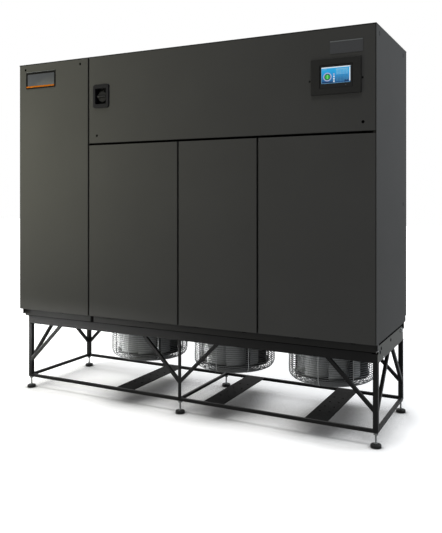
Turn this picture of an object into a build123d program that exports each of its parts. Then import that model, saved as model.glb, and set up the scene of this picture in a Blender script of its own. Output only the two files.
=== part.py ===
from build123d import *

import os

# Downflow computer room air conditioner on its floor stand, in millimetres.
# x runs to the right as seen from the front, y to the back and z up from the floor.
# The origin is on the floor, under the middle of the whole machine.

# Bays of the cabinet, from right to left
right_bay_width = 775.0
middle_bay_width = 601.0
left_bay_width = 775.0
end_bay_width = 685.0

# Cabinet
cabinet_depth = 889.0
panel_height = 1930.0
lower_panel_height = 1271.0
panel_seam = 13.0
upper_seam = 16.0
front_panel_thickness = 28.0
panel_edge_radius = 2.5
side_skin = 3.0
side_panel_thickness = 25.0
corner_gap = 2.5
rear_panel_thickness = 24.0
rear_panel_lift = 40.0
well_clearance = 2.0

# Base frame and the plates that close its ends
base_height = 58.0
base_front_setback = 50.0
base_rear_setback = 50.0
base_end_setback = 15.0
base_slot_width = 34.0
base_slot_height = 9.0
base_slot_depth = 6.0
base_slot_drop = 7.0
base_slot_first = 155.0
base_slot_pitch = 369.0
base_slot_count = 6
end_slot_offset = 385.0
end_plate_thickness = 3.0
end_plate_front_setback = 50.0
end_plate_rear_setback = 74.0
end_plate_top_gap = 17.0
tab_length = 26.0
tab_gap = 0.5
tab_height = 42.0
front_tab_setback = 35.0
rear_tab_setback = 70.0
tab_end_setback = 1.0

# Stand
stand_height = 644.0
stand_front_setback = 87.0
stand_rear_setback = 39.0
stand_end_setback = 12.0
top_rail_height = 70.0
top_rail_width = 32.0
post_size = 32.0
middle_post_width = 18.0
middle_post_depth = 18.0
middle_post_from_fan = 264.0
bottom_rail_height = 22.0
bottom_rail_width = 22.0
bottom_rail_base = 88.0
brace_width = 24.0
brace_depth = 22.0
brace_reach = 302.0
fan_plate_width = 150.0
fan_plate_thickness = 6.0
fan_plate_hole_radius = 8.0
fan_plate_hole_gap = 64.0
fan_plate_hole_pitch = 108.0
fan_plate_hole_rows = 4

# Levelling feet
foot_pad_radius = 33.0
foot_pad_height = 20.0
foot_pad_round = 6.0
foot_stud_radius = 8.0
foot_nut_across = 24.0
foot_nut_height = 12.0

# Fans
fan_count = 3
fan_end_clearance = 70.0
fan_spacing = 149.0
cage_rail_clearance = 53.5
cage_drop = 287.0
cage_corner_radius = 50.0
cage_wire = 4.0
cage_rib = 6.0
cage_ribs = 8
cage_wire_pitch = 28.0
cage_centre_radius = 60.0
cage_flange_width = 12.0
cage_flange_offset = 2.0
cage_flange_thickness = 3.0
fan_ring_thickness = 5.0
fan_ring_clearance = 2.0
nozzle_inset = 85.0
nozzle_wall = 3.0
nozzle_length = 52.0
fan_strut_width = 18.0
fan_strut_thickness = 6.0
fan_strut_inset = 30.0
spider_height = 6.0
spider_above_cage = 14.0
stator_radius = 80.0
stator_height = 9.0
bearing_radius = 25.0
bearing_height = 5.0
impeller_cage_gap = 46.0
impeller_plate = 14.0
impeller_height = 212.0
impeller_blades = 9
blade_start = 15.0
blade_length = 96.0
blade_thickness = 4.0
blade_lean = 52.0
blade_bulge = 0.4
eye_clearance = 6.0
shroud_thickness = 3.0
shroud_rise = 30.0
rotor_radius = 105.0
rotor_height = 100.0

# Things on the front
face_plate_thickness = 4.0
name_plate_thickness = 2.0
name_plate_corner = 3.0
bezel_edge_radius = 4.0
badge_width = 296.0
badge_height = 134.0
badge_from_left = 71.0
badge_below_top = 62.0
badge_corner = 12.0
name_plate_width = 205.0
name_plate_height = 78.0
name_plate_from_right = 81.0
name_plate_below_top = 85.0
display_width = 318.0
display_height = 222.0
display_from_right = 90.0
display_below_top = 190.0
display_proud = 12.0
display_corner = 7.0
screen_width = 209.0
screen_height = 143.0
screen_offset = -3.0
screen_recess = 3.0
screen_thickness = 3.0
screen_gap = 0.3
switch_width = 142.0
switch_height = 175.0
switch_from_left = 48.0
switch_below_top = 212.0
switch_proud = 10.0
switch_corner = 20.0
switch_wall = 4.0
well_width = 98.0
well_height = 116.0
well_depth = 38.0
well_shift = 1.0
knob_radius = 42.0
knob_base_height = 16.0
knob_grip_width = 20.0
knob_grip_height = 14.0
knob_grip_inset = 4.0

# Top of the cabinet
top_rail_drop = 40.0
top_bar_width = 60.0
filter_bank_height = 34.0
filter_frame = 16.0
filter_pleat_pitch = 32.0
filter_pleat_height = 24.0
filter_pleat_land = 2.0
filter_clearance = 2.0
top_cover_thickness = 20.0

# Values worked out from the sizes above
cabinet_width = right_bay_width + middle_bay_width + left_bay_width + end_bay_width
face_proud = max(display_proud, switch_proud, face_plate_thickness)
front_face = -(cabinet_depth - face_proud) / 2
rear_face = front_face + cabinet_depth
right_face = cabinet_width / 2
left_face = -right_face
panel_top = stand_height + panel_height
coil_bays_width = right_bay_width + middle_bay_width + left_bay_width
division = right_face - coil_bays_width
upper_panel_base = stand_height + lower_panel_height + upper_seam
base_bottom = stand_height - base_height
top_rail_bottom = base_bottom - top_rail_height
bottom_rail_top = bottom_rail_base + bottom_rail_height
stand_front = front_face + stand_front_setback
stand_rear = rear_face - stand_rear_setback
stand_right = right_face - stand_end_setback
stand_left = left_face + stand_end_setback
fan_y = (front_face + rear_face) / 2
panel_inset = side_skin + corner_gap
casing_top = panel_top - top_rail_drop
rail_right = stand_right - end_plate_thickness
rail_left = stand_left + end_plate_thickness
cage_radius = (stand_rear - stand_front) / 2 - top_rail_width - cage_rail_clearance
first_fan_x = rail_right - top_rail_width - fan_end_clearance - cage_radius
fan_pitch = 2 * cage_radius + fan_spacing
fan_places = [first_fan_x - i * fan_pitch for i in range(fan_count)]
middle_post_x = fan_places[1] - middle_post_from_fan
impeller_radius = cage_radius - impeller_cage_gap
nozzle_radius = impeller_radius - nozzle_inset
fan_strut_radius = cage_radius - fan_strut_inset


def block(x0, x1, y0, y1, z0, z1):
    """A box between two opposite corners."""
    with Locations(((x0 + x1) / 2, (y0 + y1) / 2, (z0 + z1) / 2)):
        Box(x1 - x0, y1 - y0, z1 - z0)


def save(piece, name):
    """Labels a finished piece and writes its file."""
    piece.part.label = name
    export_step(piece.part, f"parts/{name}.step")


def front_plate(x0, x1, z0, z1, corner, thickness):
    """A round-cornered plate that stands out from the front face."""
    with BuildPart() as plate:
        with BuildSketch(Plane.XZ.offset(-front_face)):
            with Locations(((x0 + x1) / 2, (z0 + z1) / 2)):
                RectangleRounded(x1 - x0, z1 - z0, corner)
        extrude(amount=thickness)
    return plate


os.makedirs("parts", exist_ok=True)

# Places of the things on the front
badge_left = left_face + badge_from_left
badge_top = panel_top - badge_below_top
name_plate_right = right_face - name_plate_from_right
name_plate_top = panel_top - name_plate_below_top
display_right = right_face - display_from_right
display_top = panel_top - display_below_top
display_x = display_right - display_width / 2
display_z = display_top - display_height / 2
switch_left = division + switch_from_left
switch_top = panel_top - switch_below_top
switch_x = switch_left + switch_width / 2
switch_z = switch_top - switch_height / 2
well_x = switch_x - well_shift
well_floor = front_face - switch_proud + well_depth
well_back = well_floor + switch_wall

# Front panels: the full-height end panel, the upper panel and three lower panels
end_panel_right = division - panel_seam / 2
with BuildPart() as left_front_panel:
    block(
        left_face + panel_inset,
        end_panel_right,
        front_face,
        front_face + front_panel_thickness,
        stand_height,
        panel_top,
    )
    fillet(left_front_panel.edges().group_by(Axis.Y)[0], radius=panel_edge_radius)
save(left_front_panel, "left_front_panel")

with BuildPart() as upper_front_panel:
    block(
        division + panel_seam / 2,
        right_face - panel_inset,
        front_face,
        front_face + front_panel_thickness,
        upper_panel_base,
        panel_top,
    )
    fillet(upper_front_panel.edges().group_by(Axis.Y)[0], radius=panel_edge_radius)
    with BuildSketch(Plane.XZ.offset(-front_face)):
        with Locations((well_x, switch_z)):
            Rectangle(
                well_width + 2 * (switch_wall + well_clearance),
                well_height + 2 * (switch_wall + well_clearance),
            )
    extrude(amount=-front_panel_thickness, mode=Mode.SUBTRACT)
save(upper_front_panel, "upper_front_panel")

right_seam = right_face - right_bay_width
middle_seam = right_seam - middle_bay_width
lower_panels = {
    "right_lower_panel": (right_seam + panel_seam / 2, right_face - panel_inset),
    "middle_lower_panel": (middle_seam + panel_seam / 2, right_seam - panel_seam / 2),
    "left_lower_panel": (division + panel_seam / 2, middle_seam - panel_seam / 2),
}
for name, (x0, x1) in lower_panels.items():
    with BuildPart() as lower_panel:
        block(
            x0,
            x1,
            front_face,
            front_face + front_panel_thickness,
            stand_height,
            stand_height + lower_panel_height,
        )
        fillet(lower_panel.edges().group_by(Axis.Y)[0], radius=panel_edge_radius)
    save(lower_panel, name)

# Side panels: an insulated body with a thin skin that runs on beside the front panels
casing_front = front_face + front_panel_thickness
casing_rear = rear_face - rear_panel_thickness
side_panel_rear = casing_rear - corner_gap
for name, face, inward in (("right_side_panel", right_face, -1), ("left_side_panel", left_face, 1)):
    skin = sorted((face, face + inward * side_skin))
    body = sorted((face, face + inward * side_panel_thickness))
    with BuildPart() as side_panel:
        block(*body, casing_front, side_panel_rear, stand_height, panel_top)
        block(*skin, front_face + corner_gap, casing_front, stand_height, panel_top)
    save(side_panel, name)

# Rear panels, plain, one behind each bay; the outer two close the corners
rear_limits = [right_face, right_seam, middle_seam, division, left_face]
rear_panel_base = stand_height + rear_panel_lift
rear_names = ["right_rear_panel", "middle_rear_panel", "left_rear_panel", "end_rear_panel"]
for i, name in enumerate(rear_names):
    x1 = rear_limits[i] - (panel_seam / 2 if i > 0 else 0)
    x0 = rear_limits[i + 1] + (panel_seam / 2 if i < len(rear_names) - 1 else 0)
    with BuildPart() as rear_panel:
        block(x0, x1, casing_rear, rear_face, rear_panel_base, panel_top)
        fillet(rear_panel.edges().group_by(Axis.Y)[-1], radius=panel_edge_radius)
    save(rear_panel, name)

# Inner casings: the coil section over the fans and the compressor section at the left
casing_right = right_face - side_panel_thickness
casing_left = left_face + side_panel_thickness
with BuildPart() as coil_section_casing:
    block(division, casing_right, casing_front, casing_rear, stand_height, casing_top)
    with BuildSketch(Plane.XZ.offset(-casing_front)):
        with Locations((well_x, switch_z)):
            Rectangle(
                well_width + 2 * (switch_wall + well_clearance),
                well_height + 2 * (switch_wall + well_clearance),
            )
    extrude(amount=-(well_back - casing_front + well_clearance), mode=Mode.SUBTRACT)
save(coil_section_casing, "coil_section_casing")

with BuildPart() as compressor_section_casing:
    block(casing_left, division, casing_front, casing_rear, stand_height, casing_top)
save(compressor_section_casing, "compressor_section_casing")

# Top frame: long bars at the front and rear, cross bars between the filters
top_long_front = casing_front + top_bar_width
top_long_rear = casing_rear - top_bar_width
with BuildPart() as top_long_bars:
    block(casing_left, casing_right, casing_front, top_long_front, casing_top, panel_top)
    block(casing_left, casing_right, top_long_rear, casing_rear, casing_top, panel_top)
save(top_long_bars, "top_long_bars")

cross_bar_centres = [
    casing_right - top_bar_width / 2,
    right_seam,
    middle_seam,
    division,
    casing_left + top_bar_width / 2,
]
with BuildPart() as top_cross_bars:
    for x in cross_bar_centres:
        block(
            x - top_bar_width / 2,
            x + top_bar_width / 2,
            top_long_front,
            top_long_rear,
            casing_top,
            panel_top,
        )
save(top_cross_bars, "top_cross_bars")

with BuildPart() as top_cover:
    block(
        cross_bar_centres[4] + top_bar_width / 2 + filter_clearance,
        cross_bar_centres[3] - top_bar_width / 2 - filter_clearance,
        top_long_front + filter_clearance,
        top_long_rear - filter_clearance,
        casing_top,
        casing_top + top_cover_thickness,
    )
save(top_cover, "top_cover")

# Return air filters: a frame that holds pleated media, one bank over each bay
filter_y0 = top_long_front + filter_clearance
filter_y1 = top_long_rear - filter_clearance
with BuildPart() as return_filters:
    for i in range(3):
        x1 = cross_bar_centres[i] - top_bar_width / 2 - filter_clearance
        x0 = cross_bar_centres[i + 1] + top_bar_width / 2 + filter_clearance
        block(x0, x1, filter_y0, filter_y1, casing_top, casing_top + filter_bank_height)
        inner_width = x1 - x0 - 2 * filter_frame
        pleats = int(inner_width // filter_pleat_pitch)
        pitch = inner_width / pleats
        ridge = casing_top + filter_bank_height
        with BuildSketch(Plane.XZ.offset(-(filter_y0 + filter_frame))):
            for j in range(pleats):
                start = x0 + filter_frame + j * pitch
                with BuildLine():
                    Polyline(
                        (start + filter_pleat_land / 2, ridge),
                        (start + pitch / 2, ridge - filter_pleat_height),
                        (start + pitch - filter_pleat_land / 2, ridge),
                        close=True,
                    )
                make_face()
        extrude(amount=-(filter_y1 - filter_y0 - 2 * filter_frame), mode=Mode.SUBTRACT)
save(return_filters, "return_filters")

# Base frame under the cabinet, with a row of narrow slots along its front
base_front = front_face + base_front_setback
base_rear = rear_face - base_rear_setback
base_right = right_face - base_end_setback
base_left = left_face + base_end_setback
slot_places = [right_face - base_slot_first - i * base_slot_pitch for i in range(base_slot_count)]
slot_places.append(left_face + end_slot_offset)
with BuildPart() as base_frame:
    block(base_left, base_right, base_front, base_rear, base_bottom, stand_height)
    with BuildSketch(Plane.XZ.offset(-base_front)):
        for x in slot_places:
            with Locations((x, stand_height - base_slot_drop - base_slot_height / 2)):
                Rectangle(base_slot_width, base_slot_height)
    extrude(amount=-base_slot_depth, mode=Mode.SUBTRACT)
save(base_frame, "base_frame")

# End plates: they close the ends of the base frame and of the stand's top rails
end_plate_front = front_face + end_plate_front_setback
end_plate_rear = rear_face - end_plate_rear_setback
end_plate_top = stand_height - end_plate_top_gap
with BuildPart() as base_end_plates:
    for face, inward in ((stand_right, -1), (stand_left, 1)):
        with BuildSketch(Plane.YZ.offset(face)):
            with BuildLine():
                Polyline(
                    (end_plate_front, end_plate_top),
                    (end_plate_rear, end_plate_top),
                    (end_plate_rear, top_rail_bottom),
                    (stand_front, top_rail_bottom),
                    (stand_front, base_bottom),
                    (end_plate_front, base_bottom),
                    close=True,
                )
            make_face()
        extrude(amount=inward * end_plate_thickness)
save(base_end_plates, "base_end_plates")

# Lifting tabs under the ends of the side panels
with BuildPart() as base_corner_tabs:
    for face, inward in ((right_face, -1), (left_face, 1)):
        outer = face + inward * tab_end_setback
        x0, x1 = sorted((outer, face + inward * (stand_end_setback - tab_gap)))
        front_tab = front_face + front_tab_setback
        rear_tab = rear_face - rear_tab_setback
        block(x0, x1, front_tab, front_tab + tab_length, stand_height - tab_height, stand_height)
        block(x0, x1, rear_tab - tab_length, rear_tab, stand_height - tab_height, stand_height)
save(base_corner_tabs, "base_corner_tabs")

# Stand: top rails
with BuildPart() as stand_top_long_rails:
    block(
        rail_left, rail_right, stand_front, stand_front + top_rail_width, top_rail_bottom, base_bottom
    )
    block(
        rail_left, rail_right, stand_rear - top_rail_width, stand_rear, top_rail_bottom, base_bottom
    )
save(stand_top_long_rails, "stand_top_long_rails")

with BuildPart() as stand_top_end_rails:
    for x0, x1 in (
        (rail_right - top_rail_width, rail_right),
        (rail_left, rail_left + top_rail_width),
    ):
        block(
            x0,
            x1,
            stand_front + top_rail_width,
            stand_rear - top_rail_width,
            top_rail_bottom,
            base_bottom,
        )
save(stand_top_end_rails, "stand_top_end_rails")

# Stand: four corner posts and two middle posts
post_columns = (
    (stand_left, stand_left + post_size),
    (middle_post_x - middle_post_width / 2, middle_post_x + middle_post_width / 2),
    (stand_right - post_size, stand_right),
)
front_post_rows = (stand_front, stand_front + post_size)
rear_post_rows = (stand_rear - post_size, stand_rear)
post_depths = (post_size, middle_post_depth, post_size)
with BuildPart() as stand_posts:
    for (x0, x1), depth in zip(post_columns, post_depths):
        for y0, y1 in ((stand_front, stand_front + depth), (stand_rear - depth, stand_rear)):
            block(x0, x1, y0, y1, bottom_rail_base, top_rail_bottom)
save(stand_posts, "stand_posts")

# Stand: bottom rails between the posts
with BuildPart() as stand_bottom_long_rails:
    for left_post, right_post in ((0, 1), (1, 2)):
        x0 = post_columns[left_post][1]
        x1 = post_columns[right_post][0]
        for y0, y1 in (
            (stand_front, stand_front + bottom_rail_width),
            (stand_rear - bottom_rail_width, stand_rear),
        ):
            block(x0, x1, y0, y1, bottom_rail_base, bottom_rail_top)
save(stand_bottom_long_rails, "stand_bottom_long_rails")

with BuildPart() as stand_bottom_cross_rails:
    for x0, x1, depth in (
        (stand_left, stand_left + bottom_rail_width, post_size),
        (*post_columns[1], middle_post_depth),
        (stand_right - bottom_rail_width, stand_right, post_size),
    ):
        block(x0, x1, stand_front + depth, stand_rear - depth, bottom_rail_base, bottom_rail_top)
save(stand_bottom_cross_rails, "stand_bottom_cross_rails")

# Stand: knee braces at 45 degrees from the posts up to the top rails
brace_rise = brace_width * 2**0.5


def brace_corners(post_side, direction):
    """Corners of a brace that leaves a post's side, in the plane of its frame."""
    return (
        (post_side, top_rail_bottom - brace_reach),
        (post_side + direction * brace_reach, top_rail_bottom),
        (post_side + direction * (brace_reach - brace_rise), top_rail_bottom),
        (post_side, top_rail_bottom - brace_reach + brace_rise),
    )


long_brace_starts = (
    (post_columns[0][1], 1),
    (post_columns[1][0], -1),
    (post_columns[1][1], 1),
    (post_columns[2][0], -1),
)
for name, y0 in (
    ("stand_front_braces", stand_front),
    ("stand_rear_braces", stand_rear - brace_depth),
):
    with BuildPart() as long_braces:
        with BuildSketch(Plane.XZ.offset(-y0)):
            for post_side, direction in long_brace_starts:
                with BuildLine():
                    Polyline(*brace_corners(post_side, direction), close=True)
                make_face()
        extrude(amount=-brace_depth)
    save(long_braces, name)

with BuildPart() as stand_end_braces:
    for x0 in (stand_left, stand_right - brace_depth):
        with BuildSketch(Plane.YZ.offset(x0)):
            for post_side, direction in ((front_post_rows[1], 1), (rear_post_rows[0], -1)):
                with BuildLine():
                    Polyline(*brace_corners(post_side, direction), close=True)
                make_face()
        extrude(amount=brace_depth)
save(stand_end_braces, "stand_end_braces")

# Stand: a flat plate across the bottom rails under each fan
plate_front = stand_front + bottom_rail_width
plate_rear = stand_rear - bottom_rail_width
for number, x in enumerate(fan_places, 1):
    with BuildPart() as fan_plate:
        block(
            x - fan_plate_width / 2,
            x + fan_plate_width / 2,
            plate_front,
            plate_rear,
            bottom_rail_top - fan_plate_thickness,
            bottom_rail_top,
        )
        with Locations((x, fan_y, bottom_rail_top)):
            with GridLocations(fan_plate_hole_gap, fan_plate_hole_pitch, 2, fan_plate_hole_rows):
                Hole(radius=fan_plate_hole_radius, depth=fan_plate_thickness)
    save(fan_plate, f"fan_plate_{number}")

# Levelling feet: pads on the floor, studs and nuts under the posts
foot_places = []
for x0, x1 in post_columns:
    for y0, y1 in (front_post_rows, rear_post_rows):
        foot_places.append(((x0 + x1) / 2, (y0 + y1) / 2))
with BuildPart() as foot_pads:
    with BuildSketch():
        with Locations(*foot_places):
            Circle(foot_pad_radius)
    extrude(amount=foot_pad_height)
    fillet(foot_pads.edges().group_by(Axis.Z)[-1], radius=foot_pad_round)
save(foot_pads, "foot_pads")

with BuildPart() as foot_studs:
    with BuildSketch(Plane.XY.offset(foot_pad_height)):
        with Locations(*foot_places):
            Circle(foot_stud_radius)
    extrude(amount=bottom_rail_base - foot_pad_height)
    with BuildSketch(Plane.XY.offset(bottom_rail_base - foot_nut_height)):
        with Locations(*foot_places):
            RegularPolygon(radius=foot_nut_across / 2, side_count=6, major_radius=False)
    extrude(amount=foot_nut_height)
save(foot_studs, "foot_studs")

# Heights inside a fan, from its guard's floor up
cage_top = base_bottom
cage_bottom = cage_top - cage_drop
spider_bottom = cage_bottom + cage_rib + spider_above_cage
bearing_top = spider_bottom + stator_height + bearing_height
impeller_top = bearing_top + impeller_height
corner_z = cage_bottom + cage_corner_radius
corner_r = cage_radius - cage_corner_radius
diagonal = 0.5**0.5
eye_radius = nozzle_radius + eye_clearance


def hoop_places():
    """Radius and height of each hoop's middle, up the side and in along the floor."""
    outer = cage_radius - cage_rib / 2
    floor = cage_bottom + cage_rib / 2
    side_height = cage_top - cage_flange_thickness - corner_z
    side_hoops = int(side_height // cage_wire_pitch)
    places = [(outer, corner_z + i * cage_wire_pitch) for i in range(side_hoops + 1)]
    middle_arc = cage_corner_radius - cage_rib / 2
    places.append((corner_r + middle_arc * diagonal, corner_z - middle_arc * diagonal))
    floor_hoops = int((corner_r - cage_centre_radius) // cage_wire_pitch)
    floor_pitch = (corner_r - cage_centre_radius - cage_wire) / floor_hoops
    for i in range(floor_hoops + 1):
        places.append((cage_centre_radius + cage_wire / 2 + i * floor_pitch, floor))
    return places


# Fan guard: ribs down the side and across the floor, with wire hoops fused to them
inner_corner = cage_corner_radius - cage_rib
rib_inside = cage_radius - cage_rib
rib_end = cage_centre_radius + cage_wire / 2
floor_top = cage_bottom + cage_rib
with BuildPart() as rib:
    with BuildSketch(Plane.XZ):
        with BuildLine():
            Line((cage_radius, cage_top), (cage_radius, corner_z))
            ThreePointArc(
                (cage_radius, corner_z),
                (corner_r + diagonal * cage_corner_radius, corner_z - diagonal * cage_corner_radius),
                (corner_r, cage_bottom),
            )
            Polyline(
                (corner_r, cage_bottom),
                (rib_end, cage_bottom),
                (rib_end, floor_top),
                (corner_r, floor_top),
            )
            ThreePointArc(
                (corner_r, floor_top),
                (corner_r + diagonal * inner_corner, corner_z - diagonal * inner_corner),
                (rib_inside, corner_z),
            )
            Polyline((rib_inside, corner_z), (rib_inside, cage_top), (cage_radius, cage_top))
        make_face()
    extrude(amount=cage_rib / 2, both=True)
with BuildPart() as cage:
    with PolarLocations(0, cage_ribs):
        add(rib.part)
    with BuildSketch(Plane.XZ):
        for radius, height in hoop_places():
            with Locations((radius, height)):
                Rectangle(cage_wire, cage_wire)
        with Locations((cage_radius + cage_flange_offset, cage_top - cage_flange_thickness / 2)):
            Rectangle(cage_flange_width, cage_flange_thickness)
    revolve(axis=Axis.Z)

# Fan carrier: mounting ring, inlet nozzle, struts and the motor's base
ring_outer = rib_inside - fan_ring_clearance
strut_height = cage_top - spider_bottom
with BuildPart() as carrier:
    with BuildSketch(Plane.XY.offset(cage_top - fan_ring_thickness)):
        Circle(ring_outer)
        Circle(nozzle_radius - nozzle_wall, mode=Mode.SUBTRACT)
    extrude(amount=fan_ring_thickness)
    with BuildSketch(Plane.XY.offset(cage_top - nozzle_length)):
        Circle(nozzle_radius)
        Circle(nozzle_radius - nozzle_wall, mode=Mode.SUBTRACT)
    extrude(amount=nozzle_length)
    with BuildSketch(Plane.XY.offset(spider_bottom)):
        with PolarLocations(fan_strut_radius, 4, start_angle=45):
            Rectangle(fan_strut_thickness, fan_strut_width)
    extrude(amount=strut_height)
    with BuildSketch(Plane.XY.offset(spider_bottom)):
        with PolarLocations(fan_strut_radius / 2, 4, start_angle=45):
            Rectangle(fan_strut_radius, fan_strut_width)
    extrude(amount=spider_height)
    with BuildSketch(Plane.XY.offset(spider_bottom)):
        Circle(stator_radius)
    extrude(amount=stator_height)
    with BuildSketch(Plane.XY.offset(spider_bottom)):
        Circle(bearing_radius)
    extrude(amount=stator_height + bearing_height)

# Fan impeller: back plate with the rotor, backward-leaning blades and a shroud with its eye
blade_tip_radius = impeller_radius - blade_thickness
blade_root_radius = blade_tip_radius - blade_length
blade_middle_radius = (blade_root_radius + blade_tip_radius) / 2
blade_root = Vector(blade_root_radius, 0)
blade_tip = Vector(blade_tip_radius, 0).rotate(Axis.Z, -blade_lean)
blade_middle = Vector(blade_middle_radius, 0).rotate(Axis.Z, -blade_lean * blade_bulge)
blade_arc = Edge.make_three_point_arc(blade_root, blade_middle, blade_tip)
shroud_bottom = impeller_top - shroud_rise
with BuildPart() as impeller:
    with BuildSketch(Plane.XY.offset(bearing_top)):
        Circle(impeller_radius)
    extrude(amount=impeller_plate)
    with BuildSketch(Plane.XY.offset(bearing_top)):
        Circle(rotor_radius)
    extrude(amount=rotor_height)
    with BuildSketch(Plane.XY.offset(bearing_top)):
        with PolarLocations(0, impeller_blades, start_angle=blade_start):
            SlotArc(arc=blade_arc, height=blade_thickness)
    extrude(amount=shroud_bottom - bearing_top)
    with BuildSketch(Plane.XZ):
        with BuildLine():
            Polyline(
                (eye_radius, shroud_bottom),
                (impeller_radius, shroud_bottom),
                (impeller_radius, shroud_bottom + shroud_thickness),
                (eye_radius + shroud_thickness, impeller_top),
                (eye_radius, impeller_top),
                close=True,
            )
        make_face()
    revolve(axis=Axis.Z)

for number, x in enumerate(fan_places, 1):
    for name, template in (("fan_cage", cage), ("fan_carrier", carrier), ("fan_impeller", impeller)):
        with BuildPart() as placed:
            with Locations((x, fan_y, 0)):
                add(template.part)
        save(placed, f"{name}_{number}")

# Badge plate and name plate, both bare
badge_plate = front_plate(
    badge_left,
    badge_left + badge_width,
    badge_top - badge_height,
    badge_top,
    badge_corner,
    face_plate_thickness,
)
save(badge_plate, "badge_plate")

name_plate = front_plate(
    name_plate_right - name_plate_width,
    name_plate_right,
    name_plate_top - name_plate_height,
    name_plate_top,
    name_plate_corner,
    name_plate_thickness,
)
save(name_plate, "name_plate")

# Touch display: a raised bezel with a recess, and the screen lying in it
screen_x = display_x - screen_offset
recess_floor = front_face - display_proud + screen_recess + screen_thickness
display_body = front_plate(
    display_right - display_width,
    display_right,
    display_top - display_height,
    display_top,
    display_corner,
    display_proud,
)
with BuildPart() as display_bezel:
    add(display_body.part)
    fillet(display_bezel.edges().group_by(Axis.Y)[0], radius=bezel_edge_radius)
    with BuildSketch(Plane.XZ.offset(-recess_floor)):
        with Locations((screen_x, display_z)):
            Rectangle(screen_width, screen_height)
    extrude(amount=screen_recess + screen_thickness, mode=Mode.SUBTRACT)
save(display_bezel, "display_bezel")

with BuildPart() as display_screen:
    with BuildSketch(Plane.XZ.offset(-recess_floor)):
        with Locations((screen_x, display_z)):
            Rectangle(screen_width - 2 * screen_gap, screen_height - 2 * screen_gap)
    extrude(amount=screen_thickness)
save(display_screen, "display_screen")

# Disconnect switch: a bezel with a deep well, and the rotary knob on the well's floor
switch_body = front_plate(
    switch_left,
    switch_left + switch_width,
    switch_top - switch_height,
    switch_top,
    switch_corner,
    switch_proud,
)
with BuildPart() as switch_bezel:
    add(switch_body.part)
    fillet(switch_bezel.edges().group_by(Axis.Y)[0], radius=bezel_edge_radius)
    with BuildSketch(Plane.XZ.offset(-front_face)):
        with Locations((well_x, switch_z)):
            Rectangle(well_width + 2 * switch_wall, well_height + 2 * switch_wall)
    extrude(amount=-(well_back - front_face))
    with BuildSketch(Plane.XZ.offset(-well_floor)):
        with Locations((well_x, switch_z)):
            Rectangle(well_width, well_height)
    extrude(amount=well_depth, mode=Mode.SUBTRACT)
save(switch_bezel, "switch_bezel")

with BuildPart() as switch_knob:
    with BuildSketch(Plane.XZ.offset(-well_floor)):
        with Locations((well_x, switch_z)):
            Circle(knob_radius)
    extrude(amount=knob_base_height)
    with BuildSketch(Plane.XZ.offset(-well_floor)):
        with Locations((well_x, switch_z)):
            Rectangle(2 * knob_radius - knob_grip_inset, knob_grip_width)
    extrude(amount=knob_base_height + knob_grip_height)
save(switch_knob, "switch_knob")
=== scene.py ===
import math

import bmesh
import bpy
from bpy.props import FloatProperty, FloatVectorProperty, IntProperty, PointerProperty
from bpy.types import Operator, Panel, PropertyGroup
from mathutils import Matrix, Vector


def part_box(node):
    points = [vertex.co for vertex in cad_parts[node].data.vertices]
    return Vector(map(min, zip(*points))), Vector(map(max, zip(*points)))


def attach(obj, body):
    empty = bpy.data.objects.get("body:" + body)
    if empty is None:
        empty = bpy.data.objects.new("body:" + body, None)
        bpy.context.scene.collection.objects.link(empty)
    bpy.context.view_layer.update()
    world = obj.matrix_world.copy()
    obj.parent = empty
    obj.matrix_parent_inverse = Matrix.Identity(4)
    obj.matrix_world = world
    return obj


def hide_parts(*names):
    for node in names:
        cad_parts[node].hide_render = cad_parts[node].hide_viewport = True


bl_info = {
    "name": "Computer Room Air Conditioner",
    "version": (1, 0, 0),
    "blender": (4, 5, 0),
    "location": "3D View > Sidebar > Air Conditioner",
    "description": "Finishes, trim, fan guards and hardware of a computer room air conditioner",
    "category": "Object",
}

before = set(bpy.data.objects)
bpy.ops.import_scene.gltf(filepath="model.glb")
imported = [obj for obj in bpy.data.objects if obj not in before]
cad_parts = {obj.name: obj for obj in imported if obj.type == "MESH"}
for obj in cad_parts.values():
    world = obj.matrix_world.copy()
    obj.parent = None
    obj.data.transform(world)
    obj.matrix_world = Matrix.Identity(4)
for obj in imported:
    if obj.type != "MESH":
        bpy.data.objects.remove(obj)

# Faces of the cabinet, read from the frame
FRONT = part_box("left_front_panel")[0].y
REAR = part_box("middle_rear_panel")[1].y
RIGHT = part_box("right_side_panel")[1].x
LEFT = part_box("left_side_panel")[0].x
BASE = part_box("left_front_panel")[0].z
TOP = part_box("left_front_panel")[1].z
FANS = (1, 2, 3)

# Turns that lay a piece built along +Z against each face
FACE_FRONT = Matrix.Rotation(math.radians(90), 4, "X")
FACE_REAR = Matrix.Rotation(math.radians(-90), 4, "X")
FACE_RIGHT = Matrix.Rotation(math.radians(90), 4, "Y")
FACE_LEFT = Matrix.Rotation(math.radians(-90), 4, "Y")


def painted(red, green, blue):
    """A colour as it looks on screen, from 0 to 255, turned into the shader's own scale."""
    channels = []
    for value in (red, green, blue):
        share = value / 255
        channels.append(share / 12.92 if share <= 0.04045 else ((share + 0.055) / 1.055) ** 2.4)
    return (*channels, 1.0)


def colour(label, about, default):
    """A colour setting."""
    return FloatVectorProperty(
        name=label, description=about, subtype="COLOR", size=4, min=0, max=1, default=default
    )


def length(label, about, default):
    """A length setting in metres."""
    return FloatProperty(
        name=label, description=about, default=default, min=0, unit="LENGTH", precision=4
    )


def watts(label, about, default):
    """A lamp's power setting in watts."""
    return FloatProperty(name=label, description=about, default=default, min=0, unit="POWER")


def amount(label, about, default):
    """A setting without a unit."""
    return FloatProperty(name=label, description=about, default=default, min=0)


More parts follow.
